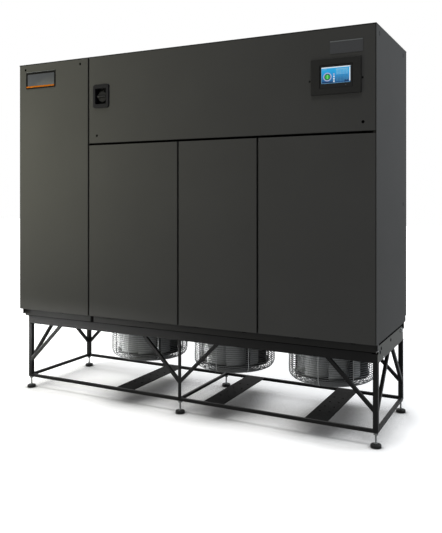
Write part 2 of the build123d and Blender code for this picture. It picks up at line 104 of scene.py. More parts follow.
class FinishColours(PropertyGroup):
    """Colours of the coatings and plastics."""

    charcoal: colour("Cabinet", "Powder coat of the cabinet's panels", painted(61, 61, 60))
    rear_charcoal: colour("Rear panels", "Powder coat of the rear panels", painted(52, 52, 52))
    stand_black: colour("Stand", "Enamel of the stand", painted(25, 25, 25))
    base_black: colour("Base frame", "Enamel of the base frame", painted(32, 32, 31))
    plate_black: colour("Fan plates", "Enamel of the plates under the fans", painted(17, 17, 17))
    end_plate: colour("End plates", "Paint of the plates at the stand's ends", painted(90, 90, 87))
    # Near black as painted shade: it darkens the seams between the panels
    casing: colour("Inner casing in painted shade", "Steel seen through the seams", painted(4, 4, 4))
    bezel: colour("Bezels", "Moulded plastic round the display and switch", painted(30, 30, 29))
    trim: colour("Top trim", "Dark strip along the cabinet's top edge", painted(18, 18, 18))
    badge_face: colour("Badge face", "Satin face of the badge", painted(55, 57, 62))
    badge_stripe: colour("Badge stripe", "Stripe along the foot of the badge", painted(142, 77, 5))
    plate_face: colour("Name plate", "Satin face of the bare name plate", painted(62, 63, 65))
    # Lighter than the plate as a painted highlight on its upper edge
    plate_highlight_lip: colour("Name plate highlight lip", "Folded top edge of the name plate", painted(98, 101, 102))
    zinc: colour("Zinc", "Galvanised wire and plated screws", painted(150, 152, 152))
    # Darker than the ribs' zinc as painted shade: the same wire, given less light
    hoop: colour("Hoops", "Galvanised wire of the guards' hoops", painted(106, 108, 109))
    stud: colour("Studs", "Plated thread and nuts of the levelling feet", painted(112, 114, 114))
    # Near white as a painted glint where the bolts catch the light
    bolt: colour("Bolts", "Bright plated bolts at the base", painted(214, 216, 216))
    sheet: colour("Fan blades", "Rolled sheet of the impellers", painted(152, 154, 154))
    # Dark as painted shade on the impellers' back plate
    back_plate_shade: colour("Fan back plate shade", "Plate under the impeller's blades", painted(20, 20, 20))
    carrier: colour("Fan carrier", "Coating of the struts and motor base", painted(28, 28, 29))
    rubber: colour("Rubber", "Pads of the levelling feet", painted(22, 22, 22))
    # Near black painted shade: strips in gaps under the panels, slot liners, the display's recess
    # and the switch's well
    painted_shade: colour("Seals", "Black painted shade under the panels, in the slots and in recesses", painted(6, 6, 6))
    media: colour("Filter media", "Pleated fibre of the return filters", painted(206, 208, 204))


class GuardSizes(PropertyGroup):
    """Sizes of the wire guards round the fans."""

    hoop_wire: length("Hoop wire", "Diameter of the hoops", 0.0050)
    rib_wire: length("Rib wire", "Diameter of the upright ribs", 0.0060)
    pitch: length("Hoop pitch", "Distance from hoop to hoop", 0.0140)
    corner: length("Corner", "Radius where the side turns into the floor", 0.0500)
    centre: length("Centre ring", "Radius of the ring that closes the floor", 0.0600)
    flange: length("Flange", "Width of the flat ring under the cabinet", 0.0120)
    flange_depth: length("Flange depth", "Thickness of that ring", 0.0030)
    ribs: IntProperty(name="Ribs", description="Number of upright ribs", default=8, min=3)
    steps: IntProperty(name="Hoop steps", description="Steps in a hoop", default=64, min=16)
    sides: IntProperty(name="Wire sides", description="Sides of a wire", default=6, min=4)


class HardwareSizes(PropertyGroup):
    """Sizes of screws, latches, studs and welds."""

    screw: length("Screw head", "Radius of a panel screw's head", 0.0095)
    screw_rise: length("Screw rise", "How far a panel screw stands out", 0.0022)
    dot_screw: length("Small screw", "Radius of the small screws beside the display", 0.0060)
    latch: length("Latch", "Radius of a quarter-turn latch", 0.0140)
    latch_rise: length("Latch rise", "How far a latch stands out", 0.0004)
    stud: length("Stud", "Radius of a levelling stud's thread", 0.0060)
    thread: length("Thread", "Pitch of the stud's thread", 0.0025)
    weld: length("Weld", "Radius of a weld bead", 0.0030)
    weld_ripple: length("Weld ripple", "Distance between the ripples of a bead", 0.0060)


class FrontTrim(PropertyGroup):
    """Sizes of the trim on the front and along the top."""

    trim_height: length("Trim height", "Height of the dark strip along the top edge", 0.0075)
    trim_proud: length("Trim stand-out", "How far that strip stands out", 0.0008)
    badge_left: length("Badge left border", "Width of the dark frame at the left", 0.0190)
    badge_right: length("Badge right border", "Width of the dark frame at the right", 0.0100)
    badge_top: length("Badge top border", "Width of the frame's upper side", 0.0210)
    badge_foot: length("Badge foot", "Width of the frame's lower side", 0.0108)
    stripe: length("Stripe", "Height of the badge's stripe", 0.0110)
    lip: length("Lip", "Height of the name plate's folded upper edge", 0.0065)
    page_left: length("Page left", "Dark glass left of the lit page", 0.0120)
    page_right: length("Page right", "Dark glass right of the lit page", 0.0141)
    page_foot: length("Page foot", "Dark glass under the lit page", 0.0285)
    page_top: length("Page top", "Dark glass over the lit page", 0.0140)
    tile: length("Tile", "Thickness of a lit field on the page", 0.0003)
    light_across: length("Light across", "Status light from the glass's left edge", 0.1660)
    light_drop: length("Light drop", "Status light below the page", 0.0150)


class StageLevels(PropertyGroup):
    """Lamps, surroundings and floor."""

    key: watts("Key lamp", "Lamp at the front left", 70.0)
    low: watts("Low lamp", "Lamp low at the left", 130.0)
    fans: watts("Fan lamps", "Narrow lamp aimed at each fan", 850.0)
    rear: watts("Rear lamp", "Lamp behind at the left", 120.0)
    side: watts("Side lamp", "Lamp at the right", 115.0)
    overhead: amount("Skylight", "Strength of the light above", 1.5)
    ambient: amount("Surroundings", "Light from all round", 0.25)
    floor: amount("Floor", "Share of light the floor sends back", 0.80)
    floor_lift: amount("Floor lift", "Added white that only shows", 0.58)
    # Reach and depth of the painted contact shadow that darkens the floor near bars
    contact_reach: length("Contact reach", "How far off a bar still shades the floor", 0.42)
    contact_depth: amount("Contact depth", "Depth of that shade", 2.3)


# Building blocks for materials

SCREEN_GLOW = 0.92


def add_node(tree, kind, inputs=None, **settings):
    """Adds a node with its settings; each input is a value or another node's socket."""
    made = tree.nodes.new(kind)
    for key, value in settings.items():
        setattr(made, key, value)
    for key, value in (inputs or {}).items():
        if isinstance(value, bpy.types.NodeSocket):
            tree.links.new(value, made.inputs[key])
        else:
            made.inputs[key].default_value = value
    return made


def map_range(tree, value, low, high, new_low, new_high):
    """A value moved from one range into another and kept inside it."""
    inputs = {"Value": value, "From Min": low, "From Max": high}
    inputs.update({"To Min": new_low, "To Max": new_high})
    return add_node(tree, "ShaderNodeMapRange", inputs).outputs["Result"]


def math_node(tree, operation, *values):
    """A sum of values, each of them a socket or a number."""
    inputs = dict(enumerate(values))
    return add_node(tree, "ShaderNodeMath", inputs, operation=operation).outputs[0]


class Finish:
    """A material with its shader, its object coordinates and short ways to add patterns."""

    def __init__(self, name, base, roughness, specular=0.25, metallic=0.0):
        self.material = bpy.data.materials.new(name)
        self.material.use_nodes = True
        self.tree = self.material.node_tree
        self.shader = self.tree.nodes["Principled BSDF"]
        self.shader.inputs["Base Color"].default_value = base
        self.shader.inputs["Roughness"].default_value = roughness
        self.shader.inputs["Specular IOR Level"].default_value = specular
        self.shader.inputs["Metallic"].default_value = metallic
        self.place = self.node("ShaderNodeTexCoord").outputs["Object"]

    def node(self, kind, inputs=None, **settings):
        return add_node(self.tree, kind, inputs, **settings)

    def shade(self, source, name):
        """Lets a pattern drive one of the shader's inputs."""
        self.tree.links.new(source, self.shader.inputs[name])

    def stretch(self, scale):
        """The coordinates stretched along the axes."""
        inputs = {"Vector": self.place, "Scale": scale}
        return self.node("ShaderNodeMapping", inputs).outputs["Vector"]

    def noise(self, scale, detail=2.0, place=None):
        inputs = {"Vector": place or self.place, "Scale": scale, "Detail": detail}
        return self.node("ShaderNodeTexNoise", inputs).outputs["Fac"]

    def cells(self, scale):
        inputs = {"Vector": self.place, "Scale": scale}
        return self.node("ShaderNodeTexVoronoi", inputs).outputs["Color"]

    def height(self):
        """The height of a point in metres."""
        return self.node("ShaderNodeSeparateXYZ", {"Vector": self.place}).outputs["Z"]

    def ramp(self, factor, stops):
        """A colour ramp with its stops as (position, colour)."""
        made = self.node("ShaderNodeValToRGB", {"Fac": factor})
        ends = made.color_ramp.elements
        while len(ends) < len(stops):
            ends.new(0.5)
        for element, (position, tone) in zip(ends, stops):
            element.position = position
            element.color = tone
        return made.outputs["Color"]

    def mottle(self, factor, base, spread):
        """Lets the base colour drift a little lighter and darker."""
        dark = (*(c * (1 - spread) for c in base[:3]), 1.0)
        light = (*(c * (1 + spread) for c in base[:3]), 1.0)
        tone = self.ramp(factor, [(0.3, dark), (0.7, light)])
        self.shade(tone, "Base Color")
        return tone

    def gloss(self, factor, low, high):
        """Lets the roughness vary with a pattern."""
        self.shade(map_range(self.tree, factor, 0.3, 0.7, low, high), "Roughness")

    def bump(self, factor, strength, distance):
        inputs = {"Height": factor, "Strength": strength, "Distance": distance}
        self.shade(self.node("ShaderNodeBump", inputs).outputs["Normal"], "Normal")

    def wear(self, tone, spread, sheen, smoother, rougher, relief, strength, depth):
        """Tone, gloss and surface that each follow a pattern."""
        roughness = self.shader.inputs["Roughness"].default_value
        base = self.shader.inputs["Base Color"].default_value
        made = self.mottle(tone, base, spread)
        self.gloss(sheen, roughness - smoother, roughness + rougher)
        self.bump(relief, strength, depth)
        return made

    def glow(self, tone):
        """Lights the surface in a colour, as a screen does."""
        self.shade(tone, "Emission Color")
        self.shader.inputs["Emission Strength"].default_value = SCREEN_GLOW


def powder_coat(name, base):
    """Satin powder coat: slow drift in tone, fine texture in the gloss and the surface."""
    finish = Finish(name, base, 0.66, specular=0.05)
    texture = finish.noise(620, 2)
    finish.wear(finish.noise(2.2, 3), 0.035, texture, 0.06, 0.06, texture, 0.16, 0.0004)
    return finish.material


def enamel(name, base, roughness=0.45, specular=0.10):
    """Brushed-on satin enamel over mill steel, with a faint wave under it."""
    finish = Finish(name, base, roughness, specular)
    wave = finish.noise(140, 3)
    finish.wear(finish.noise(9, 4), 0.10, wave, 0.09, 0.07, wave, 0.14, 0.0006)
    return finish.material


def moulded_plastic(name, base, roughness=0.5, specular=0.12):
    """Black plastic with a fine spark-eroded grain."""
    finish = Finish(name, base, roughness, specular)
    grain = finish.noise(1500, 1)
    finish.wear(finish.noise(30, 2), 0.05, grain, 0.06, 0.08, grain, 0.20, 0.0002)
    return finish.material


def satin_plate(name, base, roughness=0.36, specular=0.14):
    """A printed satin plate: fine level brushing in the gloss."""
    finish = Finish(name, base, roughness, specular)
    brushing = finish.noise(60, 3, finish.stretch((1.0, 1.0, 26.0)))
    finish.wear(brushing, 0.06, brushing, 0.05, 0.08, brushing, 0.06, 0.0002)
    return finish.material


def galvanised(name, base, metallic=0.75, roughness=0.42, spangle=220):
    """Zinc with its crystals."""
    finish = Finish(name, base, roughness, specular=0.5, metallic=metallic)
    crystals = finish.cells(spangle)
    finish.wear(crystals, 0.12, crystals, 0.08, 0.10, finish.noise(400, 2), 0.10, 0.0003)
    return finish.material


def sheet_metal(name, base, roughness=0.7, specular=0.0):
    """Dull rolled sheet with fine lines along its roll."""
    finish = Finish(name, base, roughness, specular)
    lines = finish.noise(40, 4, finish.stretch((1.0, 1.0, 18.0)))
    finish.wear(lines, 0.07, lines, 0.06, 0.08, lines, 0.05, 0.0003)
    return finish.material


def fan_sheet(name, blades, plate, plate_top):
    """Rolled sheet blades over a back plate; below plate_top the colour turns dark, painted shade
    on the back plate.
    """
    change = 0.001
    finish = Finish(name, blades, 0.55, specular=0.15, metallic=0.10)
    lines = finish.noise(40, 4, finish.stretch((1.0, 1.0, 18.0)))
    tone = finish.wear(lines, 0.07, lines, 0.11, 0.03, lines, 0.05, 0.0003)
    # Below plate_top the dark tone takes over: painted shade
    above = map_range(finish.tree, finish.height(), plate_top, plate_top + change, 0.0, 1.0)
    inputs = {"Factor": above, "A": plate, "B": tone}
    mix = finish.node("ShaderNodeMix", inputs, data_type="RGBA")
    finish.shade(mix.outputs["Result"], "Base Color")
    return finish.material


def moulded_rubber(name, base):
    """Moulded rubber, matt and slightly dusty."""
    finish = Finish(name, base, 0.72, specular=0.25)
    dust = finish.noise(90, 4)
    finish.wear(dust, 0.18, dust, 0.10, 0.10, finish.noise(700, 2), 0.25, 0.0003)
    return finish.material


def pleated_fibre(name, base):
    """Filter media: matted fibres along the pleats."""
    finish = Finish(name, base, 0.9, specular=0.15)
    fibres = finish.noise(300, 5, finish.stretch((1.0, 0.12, 1.0)))
    finish.mottle(fibres, base, 0.12)
    finish.bump(fibres, 0.5, 0.0006)
    return finish.material


def lit_page(name, low, high):
    """The display's lit page: pale blue above, deep blue below, with a soft cloudy drift."""
    cloud = 0.030
    stops = [
        (0.10, painted(24, 58, 108)),
        (0.34, painted(36, 104, 158)),
        (0.60, painted(34, 142, 208)),
        (0.90, painted(44, 166, 224)),
    ]
    finish = Finish(name, painted(0, 0, 0), 0.3, specular=0.1)
    tree = finish.tree
    drift = math_node(tree, "MULTIPLY_ADD", finish.noise(34, 2), cloud, finish.height())
    finish.glow(finish.ramp(map_range(tree, drift, low, high, 0.0, 1.0), stops))
    return finish.material


def lit_field(name, tone):
    """A lit field on the page, with the faint unevenness of a backlight."""
    finish = Finish(name, painted(0, 0, 0), 0.3, specular=0.1)
    dim = (*(c * 0.86 for c in tone[:3]), 1.0)
    finish.glow(finish.ramp(finish.noise(160, 2), [(0.35, dim), (0.65, tone)]))
    return finish.material


def dress(material, *nodes):
    """Gives carried-over nodes their finish."""
    for name in nodes:
        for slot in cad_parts[name].material_slots:
            slot.material = material


def soften(width, segments, *nodes):
    """Rounds the hard edges of carried-over bars."""
    for name in nodes:
        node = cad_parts[name]
        weld = node.modifiers.new("Join corners", "WELD")
        weld.merge_threshold = 0.00001
        bevel = node.modifiers.new("Round edges", "BEVEL")
        bevel.width = width
        bevel.segments = segments
        bevel.limit_method = "ANGLE"
        bevel.angle_limit = math.radians(40)
        bevel.harden_normals = False


# Building blocks for shapes

NEAR = 1e-6
AXIS_Y, AXIS_Z = 1, 2


def box(bm, low, high):
    """A box between two corners."""
    low, high = Vector(low), Vector(high)
    size = Matrix.Diagonal((*(high - low), 1))
    bmesh.ops.create_cube(bm, size=1, matrix=Matrix.Translation((low + high) / 2) @ size)


def prism(sides, foot_radius, head_radius, low, high):
    """A prism or cone about +Z between two heights."""
    bm = bmesh.new()
    bmesh.ops.create_cone(
        bm,
        cap_ends=True,
        segments=sides,
        radius1=foot_radius,
        radius2=head_radius,
        depth=high - low,
        matrix=Matrix.Translation((0, 0, (low + high) / 2)),
    )
    return bm


def round_off(bm, edges, radius, segments):
    """Rounds edges."""
    bmesh.ops.bevel(
        bm,
        geom=edges,
        offset=radius,
        offset_type="OFFSET",
        segments=segments,
        profile=0.5,
        affect="EDGES",
        clamp_overlap=True,
        material=-1,
    )


def edges_along(bm, axis, reach):
    """The edges that run further than that along an axis."""
    return [e for e in bm.edges if abs(e.verts[0].co[axis] - e.verts[1].co[axis]) > reach]


def edges_in_plane(bm, axis, level):
    """The edges that lie in the plane at that level of an axis."""
    return [e for e in bm.edges if all(abs(v.co[axis] - level) < NEAR for v in e.verts)]


def face_plate(x0, x1, z0, z1, back, front, corner, edge):
    """A plate on the front face with round corners and softened front edges."""
    bm = bmesh.new()
    box(bm, (x0, front, z0), (x1, back, z1))
    round_off(bm, edges_along(bm, AXIS_Y, abs(back - front) / 2), corner, 6)
    if edge:
        round_off(bm, edges_in_plane(bm, AXIS_Y, front), edge, 2)
    return bm


def spin_round(bm, geom, steps):
    """Turns an outline once about +Z and closes the shape."""
    bmesh.ops.spin(
        bm,
        geom=geom,
        cent=(0, 0, 0),
        axis=(0, 0, 1),
        angle=math.tau,
        steps=steps,
        use_merge=True,
    )
    bmesh.ops.remove_doubles(bm, verts=bm.verts, dist=NEAR)
    bmesh.ops.recalc_face_normals(bm, faces=bm.faces)


def lathe(profile, steps):
    """A shape turned about +Z from (radius, height) points, from axis to axis or in a loop."""
    bm = bmesh.new()
    points = [bm.verts.new((radius, 0, height)) for radius, height in profile]
    edges = [bm.edges.new(pair) for pair in zip(points, points[1:])]
    spin_round(bm, points + edges, steps)
    return bm


def paint_faces(bm, index):
    """Gives a shape another of its piece's materials."""
    for face in bm.faces:
        face.material_index = index


def add_shape(target, source, matrix=Matrix.Identity(4), keep=False):
    """Adds a shape to a piece, moved by the matrix."""
    mesh = bpy.data.meshes.new("shape")
    source.to_mesh(mesh)
    mesh.transform(matrix)
    target.from_mesh(mesh)
    bpy.data.meshes.remove(mesh)
    if not keep:
        source.free()


def finish_piece(bm, name, body, slot, *materials, smooth=None):
    """Turns a shape into a piece that rides on a body."""
    mesh = bpy.data.meshes.new(name)
    bm.to_mesh(mesh)
    bm.free()
    piece = bpy.data.objects.new(name, mesh)
    bpy.context.scene.collection.objects.link(piece)
    for material in materials:
        mesh.materials.append(material)
    if smooth is not None:
        mesh.shade_smooth()
        mesh.set_sharp_from_angle(angle=math.radians(smooth))
    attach(piece, body)
    return piece


def copies(name, shape, places, body, slot, *materials, smooth=None):
    """One piece made of copies of a shape."""
    bm = bmesh.new()
    for place in places:
        add_shape(bm, shape, place, keep=True)
    shape.free()
    return finish_piece(bm, name, body, slot, *materials, smooth=smooth)


def at(x, y, z, turn=Matrix.Identity(4)):
    """A place and a turn as one matrix."""
    return Matrix.Translation((x, y, z)) @ turn


# Cabinet

REAR_PANELS = ("right_rear_panel", "middle_rear_panel", "left_rear_panel", "end_rear_panel")


class CRAC_OT_coat_cabinet(Operator):
    """Coat the panels, casings and plates of the cabinet"""

    bl_idname = "crac.coat_cabinet"
    bl_label = "Coat Cabinet"

    def execute(self, context):
        tones = context.scene.crac_finishes
        panels = powder_coat("charcoal powder coat", tones.charcoal)
        dress(
            panels,
            "left_front_panel",
            "upper_front_panel",
            "right_lower_panel",
            "middle_lower_panel",
            "left_lower_panel",
            "right_side_panel",
            "left_side_panel",
            "top_long_bars",
            "top_cross_bars",
            "top_cover",
        )
        rear = powder_coat("rear powder coat", tones.rear_charcoal)
        dress(rear, *REAR_PANELS)
        # The casings seen through the seams are darkened to near black: painted shade in the seams
        casing = sheet_metal("casing sheet in painted shade", tones.casing)
        dress(casing, "coil_section_casing", "compressor_section_casing")
        return {"FINISHED"}


class CRAC_OT_fit_top_trim(Operator):
    """Fit the dark strip along the cabinet's top edge"""

    bl_idname = "crac.fit_top_trim"
    bl_label = "Fit Top Trim"

    def execute(self, context):
        sizes = context.scene.crac_front
        proud, inside, clear = sizes.trim_proud, 0.0015, 0.0003
        low, high = TOP - sizes.trim_height, TOP - clear
        bm = bmesh.new()
        box(bm, (LEFT - proud, FRONT - proud, low), (RIGHT + proud, FRONT + inside, high))
        box(bm, (RIGHT - inside, FRONT + inside, low), (RIGHT + proud, REAR - inside, high))
        box(bm, (LEFT - proud, FRONT + inside, low), (LEFT + inside, REAR - inside, high))
        round_off(bm, bm.edges[:], 0.0003, 1)
        trim = moulded_plastic("top edge strip", context.scene.crac_finishes.trim)
        finish_piece(bm, "top_edge_trim", "frame", "dark_plastic", trim)
        return {"FINISHED"}


def highest(faces):
    """The face whose middle lies highest."""
    return max(faces, key=lambda face: face.calc_center_median().z)


def screw_shape(radius, rise):
    """A low button head with a hexagon socket, on +Z."""
    sides = 24
    crown_radius, socket_radius, land = radius * 0.80, radius * 0.42, radius * 0.26
    rounding, sink = rise * 0.35, rise * 0.55
    half_flat = math.radians(30)
    bm = prism(sides, radius, crown_radius, 0, rise)
    round_off(bm, list(highest(bm.faces).edges), rounding, 2)
    bmesh.ops.inset_individual(bm, faces=[highest(bm.faces)], thickness=land)
    crown = highest(face for face in bm.faces if len(face.verts) == sides)
    for vert in crown.verts:
        turn = math.atan2(vert.co.y, vert.co.x) % (2 * half_flat)
        reach = socket_radius * math.cos(half_flat) / math.cos(turn - half_flat)
        vert.co.xy = vert.co.xy.normalized() * reach
    deep = bmesh.ops.extrude_discrete_faces(bm, faces=[crown])["faces"]
    bmesh.ops.translate(bm, verts=deep[0].verts, vec=(0, 0, -sink))
    return bm


def latch_shape(radius, rise):
    """A flush quarter-turn latch: an outer ring and a three-sided key in its well, on +Z."""
    back, floor, lead = -0.0040, -0.0030, 0.0004
    well = radius * 0.50
    bm = lathe(
        [
            (0, back),
            (radius, back),
            (radius, rise * 0.5),
            (radius * 0.96, rise),
            (well * 1.10, rise),
            (well, rise - lead),
            (well, floor),
            (0, floor),
        ],
        32,
    )
    key_low, key_high = -0.0031, -0.0001
    key = prism(3, well * 0.75, well * 0.70, key_low, key_high)
    round_off(key, edges_along(key, AXIS_Z, 0.001), 0.0008, 2)
    paint_faces(key, 1)
    add_shape(bm, key)
    return bm


class CRAC_OT_fit_panel_screws(Operator):
    """Fit the screws of the front panels and of the display"""

    bl_idname = "crac.fit_panel_screws"
    bl_label = "Fit Panel Screws"

    def execute(self, context):
        sizes = context.scene.crac_hardware
        left_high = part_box("left_front_panel")[1]
        upper_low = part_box("upper_front_panel")[0]
        display_low, display_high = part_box("display_bezel")
        from_left, from_right, from_seam = 0.063, 0.081, 0.072
        from_top, above_seam = 0.042, 0.054
        head, foot = left_high.z - from_top, upper_low.z + above_seam
        black = moulded_plastic("blackened screw", painted(2, 2, 2), 0.6, 0.01)
        places = [
            at(LEFT + from_left, FRONT, head, FACE_FRONT),
            at(left_high.x - from_seam, FRONT, head, FACE_FRONT),
            at(upper_low.x + from_seam, FRONT, foot, FACE_FRONT),
            at(RIGHT - from_right, FRONT, foot, FACE_FRONT),
        ]
        screw = screw_shape(sizes.screw, sizes.screw_rise)
        copies("panel_screws", screw, places, "frame", "dark_plastic", black, smooth=35)
        below_middle, left_gap, right_gap = 0.020, 0.010, 0.007
        level = (display_low.z + display_high.z) / 2 - below_middle
        sides = (display_low.x - left_gap, display_high.x + right_gap)
        beside = [at(x, FRONT, level, FACE_FRONT) for x in sides]
        small = screw_shape(sizes.dot_screw, sizes.screw_rise * 0.7)
        copies("display_screws", small, beside, "frame", "dark_plastic", black, smooth=35)
        return {"FINISHED"}


class CRAC_OT_fit_latches(Operator):
    """Fit the quarter-turn latches of the side and rear panels"""

    bl_idname = "crac.fit_latches"
    bl_label = "Fit Latches"

    def execute(self, context):
        sizes = context.scene.crac_hardware
        from_edge, from_rear = 0.077, 0.112
        below_top, above_base, above_foot = 0.050, 0.838, 0.080
        upper, lower = TOP - below_top, BASE + above_base
        ring = moulded_plastic("latch ring", painted(24, 24, 23), 0.66, 0.03)
        key = moulded_plastic("latch key", painted(18, 18, 17), 0.66, 0.03)
        spots = (
            (FRONT + from_edge, upper),
            (REAR - from_rear, upper),
            (REAR - from_rear, lower),
        )
        sides = ((RIGHT, FACE_RIGHT), (LEFT, FACE_LEFT))
        places = [at(face, y, z, turn) for face, turn in sides for y, z in spots]
        sunk = REAR - sizes.latch_rise
        for name in REAR_PANELS:
            low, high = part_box(name)
            for x in (low.x + from_edge, high.x - from_edge):
                for z in (upper, lower, low.z + above_foot):
                    places.append(at(x, sunk, z, FACE_REAR))
        shape = latch_shape(sizes.latch, sizes.latch_rise)
        copies("panel_latches", shape, places, "frame", "dark_plastic", ring, key, smooth=35)
        return {"FINISHED"}


# Front: badge, name plate, display and switch

# Tones of the fields on the display's page, in the order of the materials
WHITE, PALE, GREEN, MINT, MIDDLE, NAVY, LILAC = range(7)
PAGE_TONES = (
    ("page white", painted(226, 238, 248)),
    ("page pale blue", painted(128, 190, 226)),
    ("page green", painted(48, 178, 60)),
    ("page light green", painted(122, 224, 126)),
    ("page middle blue", painted(72, 136, 178)),
    ("page navy", painted(28, 56, 98)),
    ("page lilac", painted(176, 188, 220)),
)

# Single fields: left, right, foot and head in shares of the page, and the tone
PAGE_FIELDS = (
    (0.0, 1.0, 0.935, 1.0, WHITE),
    (0.0, 1.0, 0.0, 0.015, PALE),
    (0.962, 0.998, 0.07, 0.90, WHITE),
    (0.0, 0.010, 0.03, 0.92, PALE),
    (0.50, 0.925, 0.80, 0.87, PALE),
    (0.03, 0.18, 0.84, 0.875, PALE),
    (0.80, 0.93, 0.05, 0.16, NAVY),
    (0.012, 0.40, 0.02, 0.10, NAVY),
)


class CRAC_OT_fit_badge(Operator):
    """Fit the bare badge with its frame and stripe"""

    bl_idname = "crac.fit_badge"
    bl_label = "Fit Badge"

    def execute(self, context):
        sizes = context.scene.crac_front
        tones = context.scene.crac_finishes
        low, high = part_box("badge_plate")
        dress(moulded_plastic("badge frame", painted(10, 10, 10), 0.5, 0.05), "badge_plate")
        sink, proud, soft = 0.0005, 0.0006, 0.0003
        back, front = low.y + sink, low.y - proud
        x0, x1 = low.x + sizes.badge_left, high.x - sizes.badge_right
        z0, z1 = low.z + sizes.badge_foot, high.z - sizes.badge_top
        inner = face_plate(x0, x1, z0, z1, back, front, 0.004, soft)
        satin = satin_plate("badge face", tones.badge_face)
        finish_piece(inner, "badge_face", "frame", "plate_grey", satin, smooth=30)
        start, head = low.x + 0.005, z0 + sizes.stripe
        stripe = face_plate(start, x1, z0, head, back, front - proud, 0.003, soft)
        orange = satin_plate("badge stripe", tones.badge_stripe, 0.42, 0.03)
        finish_piece(stripe, "badge_stripe", "frame", "plate_grey", orange, smooth=30)
        # A light strip along the badge's top: a painted highlight where light catches the frame's
        # upper edge
        start, end = low.x + 0.004, high.x - 0.004
        foot, head = high.z - 0.0042, high.z - 0.0010
        glint = face_plate(start, end, foot, head, back, front, 0.001, soft)
        edge = satin_plate("badge edge highlight", painted(92, 94, 96), 0.30)
        finish_piece(glint, "badge_top_highlight", "frame", "plate_grey", edge, smooth=30)
        return {"FINISHED"}


class CRAC_OT_fit_name_plate(Operator):
    """Finish the bare name plate and fit its folded upper edge, in a lighter tone as a painted
    highlight
    """

    bl_idname = "crac.fit_name_plate"
    bl_label = "Fit Name Plate"

    def execute(self, context):
        sizes = context.scene.crac_front
        tones = context.scene.crac_finishes
        low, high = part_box("name_plate")
        dress(satin_plate("name plate face", tones.plate_face), "name_plate")
        back, front = low.y + 0.0005, low.y - 0.0012
        # The lip's lighter tone is a painted highlight where light from above catches the edge
        lip = face_plate(low.x, high.x, high.z - sizes.lip, high.z, back, front, 0.002, 0.0006)
        satin = satin_plate("name plate highlight lip", tones.plate_highlight_lip, 0.32)
        finish_piece(lip, "name_plate_highlight_lip", "frame", "plate_grey", satin, smooth=30)
        return {"FINISHED"}


